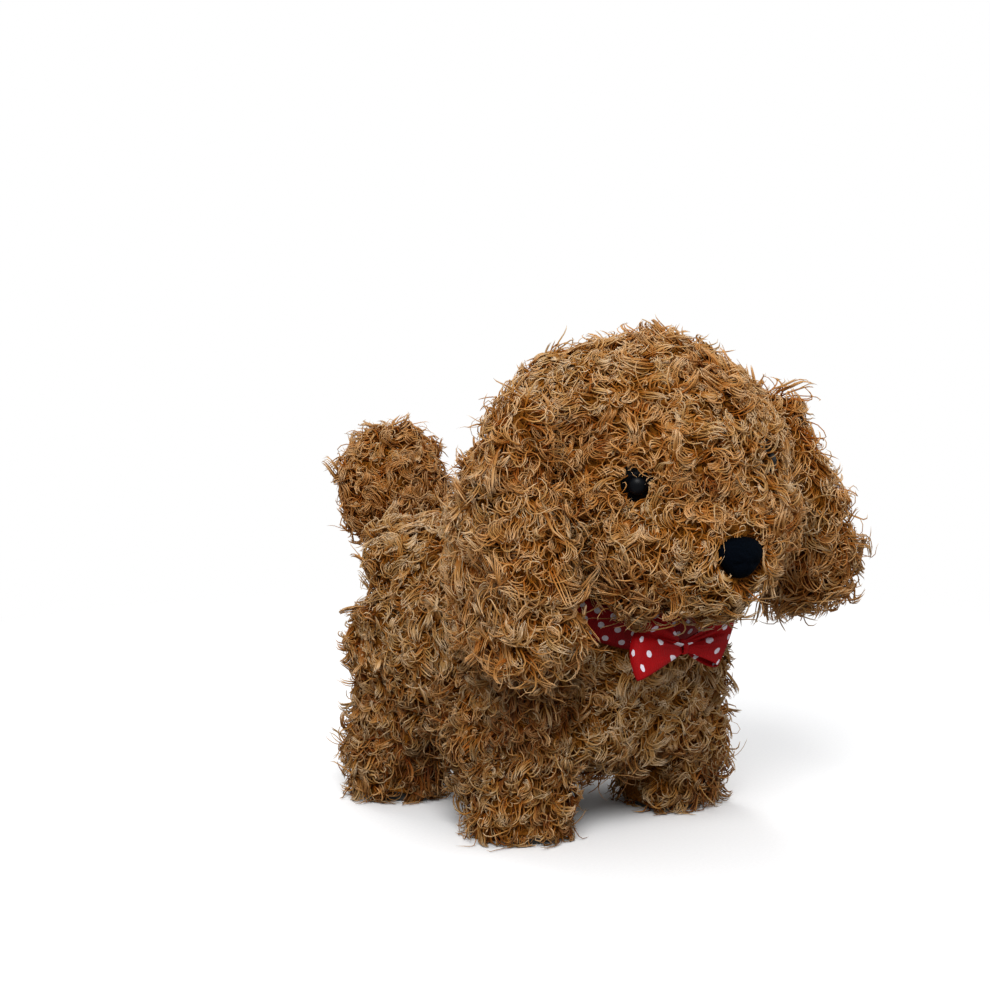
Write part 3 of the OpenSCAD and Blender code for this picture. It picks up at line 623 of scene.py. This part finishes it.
def paths(root, normal, heading, shape):
    """Centre lines of strands, shape (count, rings + 1, 3). Each leaves its skin, leans over and curls."""
    side = np.cross(normal, heading)
    t = np.linspace(0, 1, STRAND_RINGS + 1)[None, :]
    own = {key: value[:, None] for key, value in shape.items()}
    beat = TAU * own["beat"] * t + own["phase"]
    wave = own["wave"] * np.sin(beat)
    angle = own["turn"] * t + own["curl"] * t**2 + wave * t
    rise = own["lift"] * np.exp(-3.2 * t) + own["end"] * t
    rise = rise + 0.5 * own["wave"] * t * np.cos(beat)
    flat = np.cos(rise)[..., None]
    direction = flat * (
        np.cos(angle)[..., None] * heading[:, None, :] + np.sin(angle)[..., None] * side[:, None, :]
    ) + np.sin(rise)[..., None] * normal[:, None, :]
    step = (shape["length"] / STRAND_RINGS)[:, None, None]
    path = np.cumsum(direction * step, axis=1) - direction[:, :1] * step
    return root[:, None, :] + path


def draw_shape(rng, count, length):
    """Random curl of a set of strands."""
    return {
        "length": length * rng.uniform(0.7, 1.3, count),
        "lift": rng.uniform(0.9, 1.45, count),
        "end": rng.normal(0.05, 0.25, count),
        "turn": rng.normal(0, 0.9, count),
        "curl": rng.choice((-1.0, 1.0), count) * rng.uniform(0.5, 4.6, count),
        "wave": rng.uniform(0.1, 0.8, count),
        "beat": rng.uniform(0.8, 1.8, count),
        "phase": rng.uniform(0, TAU, count),
    }


def tangent(normal, rng, comb):
    """Random headings along the surface, leaning towards the comb direction."""
    free = unit(rng.normal(size=normal.shape)) + comb
    return unit(free - (free * normal).sum(axis=1, keepdims=True) * normal)


def tubes(path, radius):
    """Points of three-sided tubes round centre lines: three to a ring, then one tip, strand by strand."""
    count, rows, _ = path.shape
    along = unit(np.gradient(path, axis=1))
    lead = unit(np.cross(along[:, 0], along[:, -1] + 1e-4))
    across = np.zeros_like(path)
    across[:, 0] = lead
    for k in range(1, rows):
        last = across[:, k - 1]
        across[:, k] = unit(last - (last * along[:, k]).sum(axis=1, keepdims=True) * along[:, k])
    other = np.cross(along, across)
    rings = rows - 1
    width = radius[:, None] * np.array(STRAND_PROFILE)[None, :]
    points = np.zeros((count, rings * 3 + 1, 3))
    for j in range(3):
        turn = TAU * j / 3
        spoke = math.cos(turn) * across[:, :rings] + math.sin(turn) * other[:, :rings]
        points[:, j : rings * 3 : 3] = path[:, :rings] + spoke * width[..., None]
    points[:, -1] = path[:, -1]
    return points


def strand_faces(rings):
    """Corner numbers of one strand: base, bands and tip."""
    faces = [(2, 1, 0)]
    for k in range(rings - 1):
        for j in range(3):
            a, b = 3 * k + j, 3 * k + (j + 1) % 3
            faces.append((a, b, b + 3, a + 3))
    last = 3 * (rings - 1)
    for j in range(3):
        faces.append((last + j, last + (j + 1) % 3, last + 3))
    return faces


def fur_piece(name, path, radius, tone, material):
    """One mesh of strands with a texture place for each: its tone across, root to tip along."""
    count = len(path)
    rings = path.shape[1] - 1
    per = rings * 3 + 1
    faces = strand_faces(rings)
    corners = np.array([c for f in faces for c in f])
    sides = np.array([len(f) for f in faces])
    loops = (corners[None, :] + per * np.arange(count)[:, None]).ravel()
    starts = np.concatenate([[0], np.cumsum(sides)[:-1]])
    starts = (starts[None, :] + len(corners) * np.arange(count)[:, None]).ravel()
    mesh = bpy.data.meshes.new(name)
    mesh.vertices.add(count * per)
    mesh.loops.add(len(loops))
    mesh.polygons.add(len(starts))
    mesh.vertices.foreach_set("co", tubes(path, radius).astype(np.float32).ravel())
    mesh.loops.foreach_set("vertex_index", loops.astype(np.int32))
    mesh.polygons.foreach_set("loop_start", starts.astype(np.int32))
    mesh.update(calc_edges=True)
    mesh.shade_smooth()
    uv = np.zeros((count, per, 2))
    uv[:, :, 0] = tone[:, None]
    for j in range(3):
        uv[:, j : rings * 3 : 3, 0] += (j - 1) * 0.006
        uv[:, j : rings * 3 : 3, 1] = np.linspace(0.02, 0.98 - 0.96 / rings, rings)
    uv[:, -1, 1] = 0.98
    layer = mesh.uv_layers.new(name="OFBake")
    layer.data.foreach_set("uv", uv.reshape(-1, 2)[loops].astype(np.float32).ravel())
    made = bpy.data.objects.new(name, mesh)
    bpy.context.scene.collection.objects.link(made)
    mesh.materials.append(material)
    return made


def nearest(points, seeds):
    """Number of the seed nearest each point."""
    tree = KDTree(len(seeds))
    for i, p in enumerate(seeds):
        tree.insert(Vector(p), i)
    tree.balance()
    return np.array([tree.find(Vector(p))[1] for p in points])


def near_sum(points, spots):
    """Sum of the amounts of (spot, reach in millimetres, amount), each fading out round its spot."""
    total = 0
    for spot, reach, amount in spots:
        distance = np.linalg.norm(points - np.array(spot), axis=1)
        total = total + amount * np.exp(-((distance / (reach * MM)) ** 2))
    return total


def strand_tones(rng, root, normal, lock, locks, tint, cast):
    """Place of each strand in the tone ramp: hue picks one of three bands, tone the place in it."""
    # Painted shade and light: strands low on the toy are darker, and strands facing up are lighter.
    low = np.clip(1 - root[:, 2] / (60 * MM), 0, 1)
    tone = 0.50 + tint - 0.24 * low + 0.12 * normal[:, 2] + 0.13 * field(root, 26 * MM, SEED + 21)
    tone = tone + 0.09 * field(root, 9 * MM, SEED + 22)
    uneven = 1 + 1.4 * np.clip(1 - root[:, 2] / (85 * MM), 0, 1)
    tone = tone + uneven * (0.07 * rng.normal(size=locks)[lock] + 0.08 * rng.normal(size=len(root)))
    # Painted shade, and painted light where an amount is below 0, at the spots of SHADOWS.
    tone = tone - near_sum(root, SHADOWS)
    hue = cast + 0.4 * field(root, 30 * MM, SEED + 23) + 0.5 * rng.normal(size=locks)[lock]
    hue = hue + near_sum(root, PALE_SPOTS)
    hue = hue + 0.25 * rng.normal(size=len(root))
    return (np.clip(tone, 0.04, 0.96) + (hue > -0.3) + (hue > 0.6)) / 3


def grow(
    name,
    piece,
    tree,
    seed,
    length,
    comb=(0, 0, -0.35),
    density=1.0,
    tint=0.0,
    cast=0.0,
    keep_out=(),
    away=(),
    trim=(),
):
    """Fur over a skin as a list of mesh pieces.

    tint moves every strand's tone and cast its hue. keep_out holds (test, chance) pairs that drop
    strands, away (spot, reach, strength) partings, and trim (spot, reach, share) changes of length,
    with each reach in millimetres.
    """
    rng = np.random.default_rng(SEED + seed)
    root, normal = scatter(piece, rng, DENSITY * density)
    fit = np.clip((room(root, normal, tree) - SKIN_GAP) / FULL_ROOM, 0, 1)
    under = (normal[:, 2] < -0.6) & (root[:, 2] < 4 * MM)
    open_air = (fit > 0.15) & ~under
    root, normal, fit = root[open_air], normal[open_air], fit[open_air]
    count = len(root)

    # Locks: each has a guide strand that its strands are drawn towards.
    locks = max(count // STRANDS_PER_LOCK, 1)
    lock_root = root[rng.choice(count, locks, replace=False)]
    lock = nearest(root, lock_root)
    lock_normal = normal[nearest(lock_root, root)]
    lock_shape = draw_shape(rng, locks, length)
    lock_shape["length"] = lock_shape["length"] * (1 + 0.22 * field(lock_root, 16 * MM, SEED + 11))
    lock_comb = np.tile(comb, (locks, 1))
    for spot, reach, strength in away:
        gap = lock_root - np.array(spot)
        distance = np.linalg.norm(gap, axis=1, keepdims=True)
        lock_comb = lock_comb + unit(gap) * strength * np.exp(-((distance / (reach * MM)) ** 2))
    lock_heading = tangent(lock_normal, rng, lock_comb)
    guide = paths(lock_root, lock_normal, lock_heading, lock_shape)

    # Strands: the loose ones go their own way.
    shape = draw_shape(rng, count, length)
    loose = rng.random(count) < LOOSE_SHARE
    for key in shape:
        own = 0.2 * shape[key] + 0.8 * lock_shape[key][lock]
        shape[key] = np.where(loose, shape[key], own)
    heading = tangent(normal, rng, lock_comb[lock])
    follow = unit(lock_heading[lock] + 0.35 * heading)
    follow = unit(follow - (follow * normal).sum(axis=1, keepdims=True) * normal)
    heading = np.where(loose[:, None], heading, follow)
    shape["length"] = shape["length"] * (0.35 + 0.65 * fit)
    shape["lift"] = shape["lift"] * (0.6 + 0.4 * fit)
    wisp = loose & (rng.random(count) < WISP_SHARE)
    shape["length"] = shape["length"] * np.where(wisp, 1.35, 1.0)
    for change in trim:
        shape["length"] = shape["length"] * (1 + near_sum(root, [change]))
    path = paths(root, normal, heading, shape)
    t = np.linspace(0, 1, path.shape[1])[None, :, None]
    pull = np.where(loose, 0.0, rng.uniform(0.6, 1.0, count))[:, None, None]
    share = np.clip(fit / 0.9, 0, 1)[:, None, None]
    spread = LOCK_SPREAD * (root - lock_root[lock])[:, None, :]
    path = path + pull * share * t**1.2 * (guide[lock] + spread - path)
    path[..., 2] = np.maximum(path[..., 2], FLOOR_GAP)

    clear = np.ones(count, bool)
    for inside, chance in keep_out:
        clear &= ~(inside(path).any(axis=1) & (rng.random(count) < chance))
    path, normal, lock, wisp = path[clear], normal[clear], lock[clear], wisp[clear]
    radius = STRAND_RADIUS * rng.uniform(0.65, 1.25, len(path)) * np.where(wisp, 0.65, 1.0)
    tone = strand_tones(rng, path[:, 0], normal, lock, locks, tint, cast)

    # One piece holds strands that stand next to each other round the head's axis.
    order = np.argsort(np.arctan2(path[:, 0, 0] - HEAD_PIVOT.x, path[:, 0, 1] - HEAD_PIVOT.y), kind="stable")
    chunks = -(-len(path) // STRANDS_PER_PIECE)
    return [
        fur_piece(f"{name}_{i + 1:02d}", path[part], radius[part], tone[part], CURLED_PILE)
        for i, part in enumerate(np.array_split(order, chunks))
    ]


def in_box(low, high):
    """Test for points inside a box."""
    return lambda p: ((p > np.array(low)) & (p < np.array(high))).all(axis=-1)


def depth_and_off(points, spot, line):
    """Distance of each point along a line through a spot, and away from it."""
    gap = points - np.array(spot)
    depth = gap @ line
    return depth, np.linalg.norm(gap - depth[..., None] * line, axis=-1)


def in_plug(spot, axis, radius, back, front):
    """Test for points inside a round plug along an axis, from back to front of a spot."""
    line = unit(np.array(axis, float))

    def inside(p):
        depth, off = depth_and_off(p, spot, line)
        return (off < radius) & (depth > back) & (depth < front)

    return inside


def in_ring(spot, axis, radius, half):
    """Test for points inside a ring round an axis, between two radii and within half its height."""
    line = unit(np.array(axis, float))

    def inside(p):
        depth, off = depth_and_off(p, spot, line)
        return (off > radius[0]) & (off < radius[1]) & (np.abs(depth) < half)

    return inside


def rooted(inside):
    """The same test for the roots only."""
    return lambda p: inside(p[:, :1])


def over(tree, out, low, high, skin_depth=0.8 * MM, reach=14 * MM):
    """Test for points touching a thin piece or lying in front of it, within a box."""
    back = -Vector(out)

    def inside(p):
        flat = p.reshape(-1, 3)
        found = np.zeros(len(flat), bool)
        for i in np.flatnonzero(((flat > np.array(low)) & (flat < np.array(high))).all(axis=1)):
            spot = Vector(flat[i])
            touching = tree.find_nearest(spot, skin_depth)[3] is not None
            found[i] = touching or tree.ray_cast(spot, back, reach)[3] is not None
        return found.reshape(p.shape[:-1])

    return inside


# ---- Build: skins ----
CURLED_PILE = fur_material()
BACKING = skin_material()

# Bulges and hollows of each skin: spot, then reach and move in millimetres.
RUMP_IN = (at(-44, 53, 42), 20, (2.8, -4.6, 0))
CHEST_IN = (at(46, -57, 55), 18, (-1.8, 1.8, 0))
PUSHES = {
    "body_plush": (
        RUMP_IN,
        CHEST_IN,
        (at(-40, 50, 96), 16, (-1.2, 1.6, 1.6)),
        (at(-43, 55, 52), 16, (4.4, -3.8, 0)),
        (at(-41, 46, 84), 14, (-2.6, 2.3, 1)),
        (at(-45, -14, 28), 12, (-4.0, 3.0, -3)),
    ),
    "head_plush": (
        (at(-24, -34, 165), 18, (-1.8, 2.6, 3.2)),
        (at(-31, -37, 162), 13, (-2.6, 2.2, 2.6)),
        (at(-8, -51, 172), 16, (0, 0, -1.4)),
        (at(28, -72, 161), 12, (-2.2, 1.9, -1.6)),
        (at(-38, -81, 88), 13, (-0.8, -1.0, -4.5)),
        (at(-24, -85, 84), 11, (0, -0.6, -3.0)),
        (at(-8, -92, 86), 12, (0, -0.5, -2.5)),
    ),
    "ear_right": (
        (at(-62, -42, 150), 12, (1.6, -1.4, 0.3)),
        (at(-62, -43, 144), 15, (4.2, -3.6, -0.6)),
        (at(-55, -77, 78), 13, (4.6, -4.0, 0)),
    ),
    "ear_left": (
        (at(66, -84, 137), 16, (-5.6, 4.8, -1.4)),
        (at(72, -88, 114), 13, (-6.2, 5.4, 0)),
        (at(74, -88, 89), 11, (4.2, -3.6, 0)),
        (at(60, -86, 68), 12, (-1.5, 1.3, 5.0)),
        (at(40, -76, 76), 12, (-4, 0, -4.5)),
    ),
    "leg_plush_rear_right": (RUMP_IN, (at(-38, 12, 21), 12, (2.0, -1.8, 0))),
    "leg_plush_front_right": (
        (at(-33, -35, 5), 20, (-2.0, 2.6, 0)),
        (at(-30, -47, 3), 8, (0.6, -2.8, -1.6)),
        (at(-50, -15, 27), 15, (-4.2, 3.8, 0)),
    ),
    "leg_plush_front_left": (CHEST_IN,),
    "tail_plush": ((at(-17, 91, 106), 18, (-1.8, 1.5, 0.4)), (at(-5, 82, 132), 18, (0, 0, 1.6))),
}

# Painted shade on the pile, with painted light where the amount is below 0, and where the pile is paler: spot,
# reach and amount.
SHADOWS = (
    (at(-49, -53, 49), 15, 0.42),
    (at(-54, -32, 52), 14, 0.35),
    (at(-33, -63, 55), 14, 0.35),
    (at(-62, -50, 72), 15, -0.14),
    (at(-45, -80, 92), 9, 0.35),
    (at(-46, -79, 105), 9, 0.32),
    (at(-46, -77, 117), 9, 0.3),
    (at(47, -74, 105), 12, 0.3),
    (at(-31, -88, 138), 12, 0.24),
    (at(-5, -68, 48), 22, -0.2),
    (at(-52, 28, 35), 18, 0.22),
    (at(-50, -13, 27), 11, 0.40),
    (at(-38, 12, 24), 12, 0.40),
)
PALE_SPOTS = (
    (at(-8, -90, 88), 26, 1.0),
    (at(-46, 25, 92), 30, 0.9),
    (at(-10, -58, 45), 30, 0.6),
    (at(-25, -85, 120), 26, -0.5),
    (at(44, -60, 60), 22, 0.6),
)
FEET = {
    leg: Vector((FOOT_X if "left" in leg else -FOOT_X, PIVOTS[f"{leg}_leg_swing"].y, 3 * MM)) for leg in LEGS
}
for leg, foot in FEET.items():
    PUSHES[f"leg_plush_{leg}"] = (*PUSHES.get(f"leg_plush_{leg}", ()), (foot, 15, (0, 0, -2.2)))


def plush_skin(cad_node, name, **settings):
    """Skin of one plush node with its own bulges and hollows."""
    return skin(cad_node, f"skin_{name}", BACKING, pushes=PUSHES[cad_node], **settings)


body_skin = plush_skin("body_plush", "body")
head_skin = plush_skin("head_plush", "head")

# The tail's padded root over its arm: balls from low in the rump up into the tail.
ROOT_STEPS = 9
tail_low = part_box("tail_plush")[0]
tail_root = [
    (Vector((0, tail_low.y, tail_low.z)) + Vector((0, 19 * t - 3, 18 * t - 9)) * MM, (8 + 3 * t) * MM)
    for t in np.arange(ROOT_STEPS) / ROOT_STEPS
]
tail_skin = plush_skin("tail_plush", "tail", smooth=4, balls=tail_root)
ear_skins = {side: plush_skin(f"ear_{side}", f"ear_{side}") for side in ("right", "left")}
leg_skins = {leg: plush_skin(f"leg_plush_{leg}", f"leg_{leg}") for leg in LEGS}

HARD = ["casing_right", "casing_left", "battery_door", "head_shell_right", "head_shell_left", "tail_arm"]
HARD += [f"leg_frame_{leg}" for leg in LEGS]
solids = [frame["nodes"][n] for n in HARD]
skins = [body_skin, head_skin, tail_skin, *ear_skins.values(), *leg_skins.values()]
tree = surface_tree(solids + skins)

# ---- Build: nose, eyes and ribbon ----
# The collar's ribbon has depth 0.62: painted shade under the chin.
RIBBON = ribbon_material("collar_grosgrain", 5.8, 9.0, 1.15, depth=0.62)
BOW = ribbon_material("bow_grosgrain", 8.6, 9.4, 1.15)
KNOT = ribbon_material("knot_grosgrain", 40.0, 40.0, 0.4)
EYE = eye_material()
EYE_OUT = 42.8 * MM  # from the head's pivot
EYE_UP = 4.3 * MM
face = Matrix.Rotation(-FACE_TURN, 3, "Z") @ Matrix.Rotation(-FACE_TIP, 3, "Y")
face_axis = face @ Vector((0, -1, 0))
face_up = face @ Vector((0, 0, 1))

nose_at = centre("nose")
nose = nose_pad("nose_pad", nose_at - face_axis * 1.2 * MM, face_axis, flock_material())

# Outline of an eye, a dark rim and a bead in it: radius and height in millimetres.
EYE_RIM = ((4.6, -1.6), (5.3, -0.9), (5.5, -0.3), (5.2, 0.1), (3.5, 0.25))
EYE_BEAD = ((3.35, 0.6), (3.3, 1.1), (3.0, 1.9), (2.5, 2.5), (1.8, 2.95), (0.9, 3.2), (0.25, 3.25))
EYE_TALL = 1.5
eyes = {}
for side, sign in (("right", -1), ("left", 1)):
    look = face @ Vector((math.sin(sign * EYE_SPREAD), -math.cos(EYE_SPREAD), 0))
    spot = HEAD_PIVOT + look * EYE_OUT + face_up * EYE_UP
    profile = [(r * MM, h * MM) for r, h in EYE_RIM + EYE_BEAD]
    eyes[side] = (turned(f"eye_{side}", spot, look, profile, EYE, EYE_TALL), spot, look)

collar_at = centre("collar_ribbon")
collar_axis = Vector((0, -math.sin(COLLAR_TIP), math.cos(COLLAR_TIP)))
collar = collar_band("collar_band", collar_at, RIBBON)

BOW_PROUD = 2.4 * MM
BOW_SHIFT = Vector((-5.9, -0.4, -0.4)) * MM  # from the CAD bow's place
bow_at = centre("bow")
bow_normal = Vector((0, -math.sin(BOW_TIP), math.cos(BOW_TIP)))
bow_place = bow_at + bow_normal * BOW_PROUD + BOW_SHIFT
# Corners of each loop's folded end, in millimetres right and up from the bow's middle.
right_corners = (-8.4, 13.2), (-20.9, 5.0), (-23.2, -8.3)
left_corners = (25.5, 8.2), (20.5, 0.4), (11.5, -8.4)
lobes = [
    bow_lobe("bow_lobe_right", bow_place, bow_normal, *right_corners, 3.4, BOW, 1),
    bow_lobe("bow_lobe_left", bow_place, bow_normal, *left_corners, 2.0, BOW, 2),
]
knot = bow_knot("bow_knot", bow_place, bow_normal, KNOT)

# ---- Build: fur ----
# Places that the pile stays out of: the belly window, the nose, the bow and the collar.
door_low, door_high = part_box("battery_door")
switch_at = centre("switch_slider")
window_low = (door_low.x - 2 * MM, switch_at.y - 5 * MM, 0)
window_high = (door_high.x + 2 * MM, door_high.y + 2 * MM, 26 * MM)
belly_window = in_box(window_low, window_high)
nose_plug = in_plug(nose_at, face_axis, 5.0 * MM, -6 * MM, 30 * MM)
nose_roots = rooted(in_plug(nose_at, face_axis, 7.0 * MM, -9 * MM, 30 * MM))
bow_low = bow_at - Vector((27 * MM, 22 * MM, 14 * MM))
bow_high = bow_at + Vector((27 * MM, 8 * MM, 16 * MM))
bow_front = over(surface_tree([*lobes, knot]), bow_normal, bow_low, bow_high)
under_band = rooted(in_ring(collar_at, collar_axis, (30 * MM, 46 * MM), 6.5 * MM))
over_band = in_ring(collar_at, collar_axis, (34 * MM, 42 * MM), 7.4 * MM)
through_band = in_ring(collar_at, collar_axis, (34.5 * MM, 37.4 * MM), 8.6 * MM)
around = ((belly_window, 1.0), (bow_front, 0.985), (under_band, 1.0), (over_band, 0.9), (through_band, 0.9))

eye_gaps = []
for _, spot, look in eyes.values():
    eye_gaps += [
        (in_plug(spot + face_up * 2.4 * MM, look, 2.7 * MM, -2 * MM, 16 * MM), 0.86),
        (in_plug(spot - face_up * 3.4 * MM, look, 2.3 * MM, -2 * MM, 16 * MM), 0.8),
        (rooted(in_plug(spot + face_up * 1.6 * MM, look, 3.6 * MM, -4 * MM, 6 * MM)), 1.0),
        (rooted(in_plug(spot - face_up * 2.4 * MM, look, 3.2 * MM, -4 * MM, 6 * MM)), 1.0),
    ]
partings = [(spot, 7, 1.0) for _, spot, _ in eyes.values()] + [(nose_at, 14, 1.2)]

BODY_TRIM = (
    (at(-44, 54, 45), 22, -0.45),
    (at(34, -54, 70), 18, -0.5),
    (at(-8, -44, 20), 18, 0.5),
    (at(-30, 14, 20), 16, 0.7),
    (at(-45, -10, 24), 12, 0.5),
)
fur = {"body": grow("fur_body", body_skin, tree, 1, 11 * MM, cast=0.3, keep_out=around, trim=BODY_TRIM)}
HEAD_TRIM = ((at(-8, -88, 86), 24, 0.6), (at(-36, -80, 88), 14, 0.5))
fur["head"] = grow(
    "fur_head",
    head_skin,
    tree,
    2,
    10.5 * MM,
    keep_out=[(nose_plug, 0.93), (nose_roots, 1.0), (bow_front, 0.93), (through_band, 0.9), *eye_gaps],
    away=partings,
    trim=HEAD_TRIM,
)
fur["tail"] = grow(
    "fur_tail", tail_skin, tree, 3, 10 * MM, comb=(0, 0, 0.1), density=1.25, tint=-0.10, cast=-0.5
)
for i, (side, piece) in enumerate(ear_skins.items()):
    fur[f"ear_{side}"] = grow(f"fur_ear_{side}", piece, tree, 4 + i, 13 * MM, comb=(0, 0, -0.5))
LEG_TRIM = (
    (at(-44, 54, 45), 22, -0.5),
    (at(-20, -40, 10), 14, -0.35),
    (at(46, -57, 55), 20, -0.45),
)
for i, (leg, piece) in enumerate(leg_skins.items()):
    fur[f"leg_{leg}"] = grow(
        f"fur_leg_{leg}",
        piece,
        tree,
        6 + i,
        10 * MM,
        comb=(0, 0, -0.8),
        cast=0.5,
        keep_out=around[:2],
        trim=((FEET[leg], 20, 0.55), *LEG_TRIM),
    )

# ---- Riding ----
def settle_plush(skin_piece, strands, cad_node, body, crossing=None):
    """A skin and its fur ride on a body, or stay fixed in place where crossing is given, and stand for a CAD node.

    crossing is (second body, start, end) for plush that spans the body and a second one; only whether it is given
    is read, and its three entries are not used.
    """
    for piece in [skin_piece, *strands]:
        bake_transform(piece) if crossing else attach(piece, body)
    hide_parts(cad_node)


settle_plush(body_skin, fur["body"], "body_plush", "chassis")
settle_plush(head_skin, fur["head"], "head_plush", "head")
tail_start = (0, tail_low.y - 3 * MM, tail_low.z - 10 * MM)
tail_end = (0, tail_low.y + 6 * MM, tail_low.z)
settle_plush(tail_skin, fur["tail"], "tail_plush", "chassis", ("tail", tail_start, tail_end))
for side, ear in ear_skins.items():
    pivot = PIVOTS[f"{side}_ear_lift"]
    start, end = pivot + Vector((0, 0, 5 * MM)), pivot - Vector((0, 0, 9 * MM))
    settle_plush(ear, fur[f"ear_{side}"], f"ear_{side}", "head", (f"ear_{side}", start, end))
for leg, piece in leg_skins.items():
    pivot = next(Vector(j["pos_m"]) for j in frame["joints"] if j["child"] == f"leg_{leg}")
    start, end = pivot - Vector((0, 0, 2 * MM)), pivot - Vector((0, 0, 24 * MM))
    settle_plush(piece, fur[f"leg_{leg}"], f"leg_plush_{leg}", "chassis", (f"leg_{leg}", start, end))

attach(nose, "head")
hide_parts("nose")
for piece, _, _ in eyes.values():
    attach(piece, "head")
    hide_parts("eyes")
for piece in (collar, *lobes, knot):
    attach(piece, "chassis")
    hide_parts("collar_ribbon" if piece is collar else "bow")

# ---- Carried-over CAD parts ----
# Name, two colours, mottle per metre, roughness and, where not plain plastic, metal share and bump depth.
MOULDED = {
    "casing": ("ivory_casing", (0.52, 0.50, 0.44), (0.60, 0.58, 0.52), 120, 0.42),
    "gear": ("white_nylon", (0.66, 0.64, 0.57), (0.76, 0.74, 0.68), 150, 0.38),
    "linkage": ("orange_acetal", (0.58, 0.15, 0.02), (0.70, 0.21, 0.03), 150, 0.36),
    "steel": ("worn_steel", (0.45, 0.45, 0.46), (0.62, 0.62, 0.63), 260, 0.3, 1.0, 0.00002),
    "brass": ("turned_brass", (0.60, 0.40, 0.14), (0.78, 0.56, 0.22), 400, 0.28, 1.0, 0.00002),
    "black_plastic": ("black_plastic", (0.012, 0.012, 0.013), (0.028, 0.028, 0.03), 200, 0.45),
    "sole": ("rubber_sole", (0.030, 0.028, 0.027), (0.060, 0.056, 0.052), 300, 0.75, 0.0, 0.0001),
    "board": ("green_board", (0.008, 0.07, 0.02), (0.014, 0.12, 0.035), 350, 0.4),
}
SLOT_LOOKS = {slot: moulded_material(*look) for slot, look in MOULDED.items()}
SLOT_LOOKS |= {
    "cell": banded_material(
        "cell_wrap",
        "Y",
        0.3,
        (0.0, (0.55, 0.55, 0.56)),
        (0.04, (0.02, 0.05, 0.03)),
        (0.68, (0.02, 0.06, 0.035)),
        (0.71, (0.62, 0.42, 0.16)),
        (0.95, (0.66, 0.46, 0.18)),
        (1.0, (0.55, 0.55, 0.56)),
    ),
    "wire": banded_material(
        "wire_sleeve",
        "X",
        0.45,
        (0.0, (0.45, 0.01, 0.01)),
        (0.5, (0.40, 0.01, 0.01)),
        (0.56, (0.015, 0.015, 0.018)),
    ),
}
slot_of = {part["node"]: part["material_slot"] for part in frame["record"]["subparts"]}
for name, cad in frame["nodes"].items():
    look = SLOT_LOOKS.get(slot_of[name])
    if look is not None:
        cad.data.materials.clear()
        cad.data.materials.append(look)

# ---- Stage ----
VIEW_AZIMUTH = math.radians(-40.66)
VIEW_ELEVATION = math.radians(9.79)
VIEW_DISTANCE = 880 * MM
VIEW_TARGET = at(0, 0, 88)
VIEW_AIM = at(-7.7, 11.3, 109.3)
LENS = 90.13  # millimetres, over a sensor 36 mm wide


def backdrop_material():
    """Pale paper near the toy that fades to an even white further out; it bounces little light upwards."""
    made = bpy.data.materials.new("paper_sweep")
    made.use_nodes = True
    place = node(made, "ShaderNodeTexCoord").outputs["Object"]
    distance = vector(made, "LENGTH", place)
    fade = ramp(made, distance, (0.12, (0, 0, 0)), (0.42, (1, 1, 1)))
    grain = ramp(made, noise(made, 900, 2.0), (0.3, (0.93, 0.93, 0.93)), (0.7, (0.96, 0.96, 0.96)))
    paper = node(made, "ShaderNodeBsdfDiffuse", {"Color": grain}).outputs["BSDF"]
    glow = node(made, "ShaderNodeEmission", {"Color": (1, 1, 1, 1), "Strength": 1.0}).outputs["Emission"]
    seen = node(made, "ShaderNodeMixShader", {0: fade, 1: paper, 2: glow}).outputs["Shader"]
    dim = node(made, "ShaderNodeBsdfDiffuse", {"Color": (0.32, 0.30, 0.28, 1)}).outputs["BSDF"]
    camera_ray = node(made, "ShaderNodeLightPath").outputs["Is Camera Ray"]
    both = node(made, "ShaderNodeMixShader", {0: camera_ray, 1: dim, 2: seen}).outputs["Shader"]
    wire(made, both, made.node_tree.nodes["Material Output"].inputs["Surface"])
    return made


def make_stage():
    """Pale floor, soft lights and the camera."""
    scene = bpy.context.scene
    scene.view_settings.view_transform = "Standard"
    bpy.ops.mesh.primitive_circle_add(vertices=96, radius=4, fill_type="NGON")
    floor = bpy.context.object
    floor.name = "floor"
    floor.data.materials.append(backdrop_material())

    world = bpy.data.worlds.new("studio")
    scene.world = world
    world.use_nodes = True
    soft = world.node_tree.nodes["Background"]
    soft.inputs["Color"].default_value = (0.97, 0.98, 1.0, 1)
    soft.inputs["Strength"].default_value = 0.56
    plain = node(world, "ShaderNodeBackground", {"Color": (1, 1, 1, 1)}).outputs[0]
    camera_ray = node(world, "ShaderNodeLightPath").outputs["Is Camera Ray"]
    seen = node(world, "ShaderNodeMixShader", {0: camera_ray, 1: soft.outputs[0], 2: plain}).outputs[0]
    wire(world, seen, world.node_tree.nodes["World Output"].inputs["Surface"])

    for name, place, size, power in (
        ("key", (-0.64, -0.62, 0.82), 0.6, 11.5),
        ("fill", (0.9, -0.5, 0.6), 0.9, 3),
        ("rim", (0.2, 0.9, 0.9), 0.7, 6),
    ):
        lamp = bpy.data.lights.new(name, "AREA")
        lamp.shape = "DISK"
        lamp.size = size
        lamp.energy = power
        made = bpy.data.objects.new(name, lamp)
        scene.collection.objects.link(made)
        made.location = place
        aim = VIEW_TARGET - Vector(place)
        made.rotation_euler = aim.to_track_quat("-Z", "Y").to_euler()

    camera = bpy.data.cameras.new("camera")
    camera.sensor_width = 36
    camera.lens = LENS
    made = bpy.data.objects.new("camera", camera)
    scene.collection.objects.link(made)
    level = Vector((math.sin(VIEW_AZIMUTH), -math.cos(VIEW_AZIMUTH), 0))
    back_way = level * math.cos(VIEW_ELEVATION) + Vector((0, 0, math.sin(VIEW_ELEVATION)))
    made.location = VIEW_TARGET + back_way * VIEW_DISTANCE
    made.rotation_euler = (VIEW_AIM - made.location).to_track_quat("-Z", "Y").to_euler()
    scene.camera = made


make_stage()
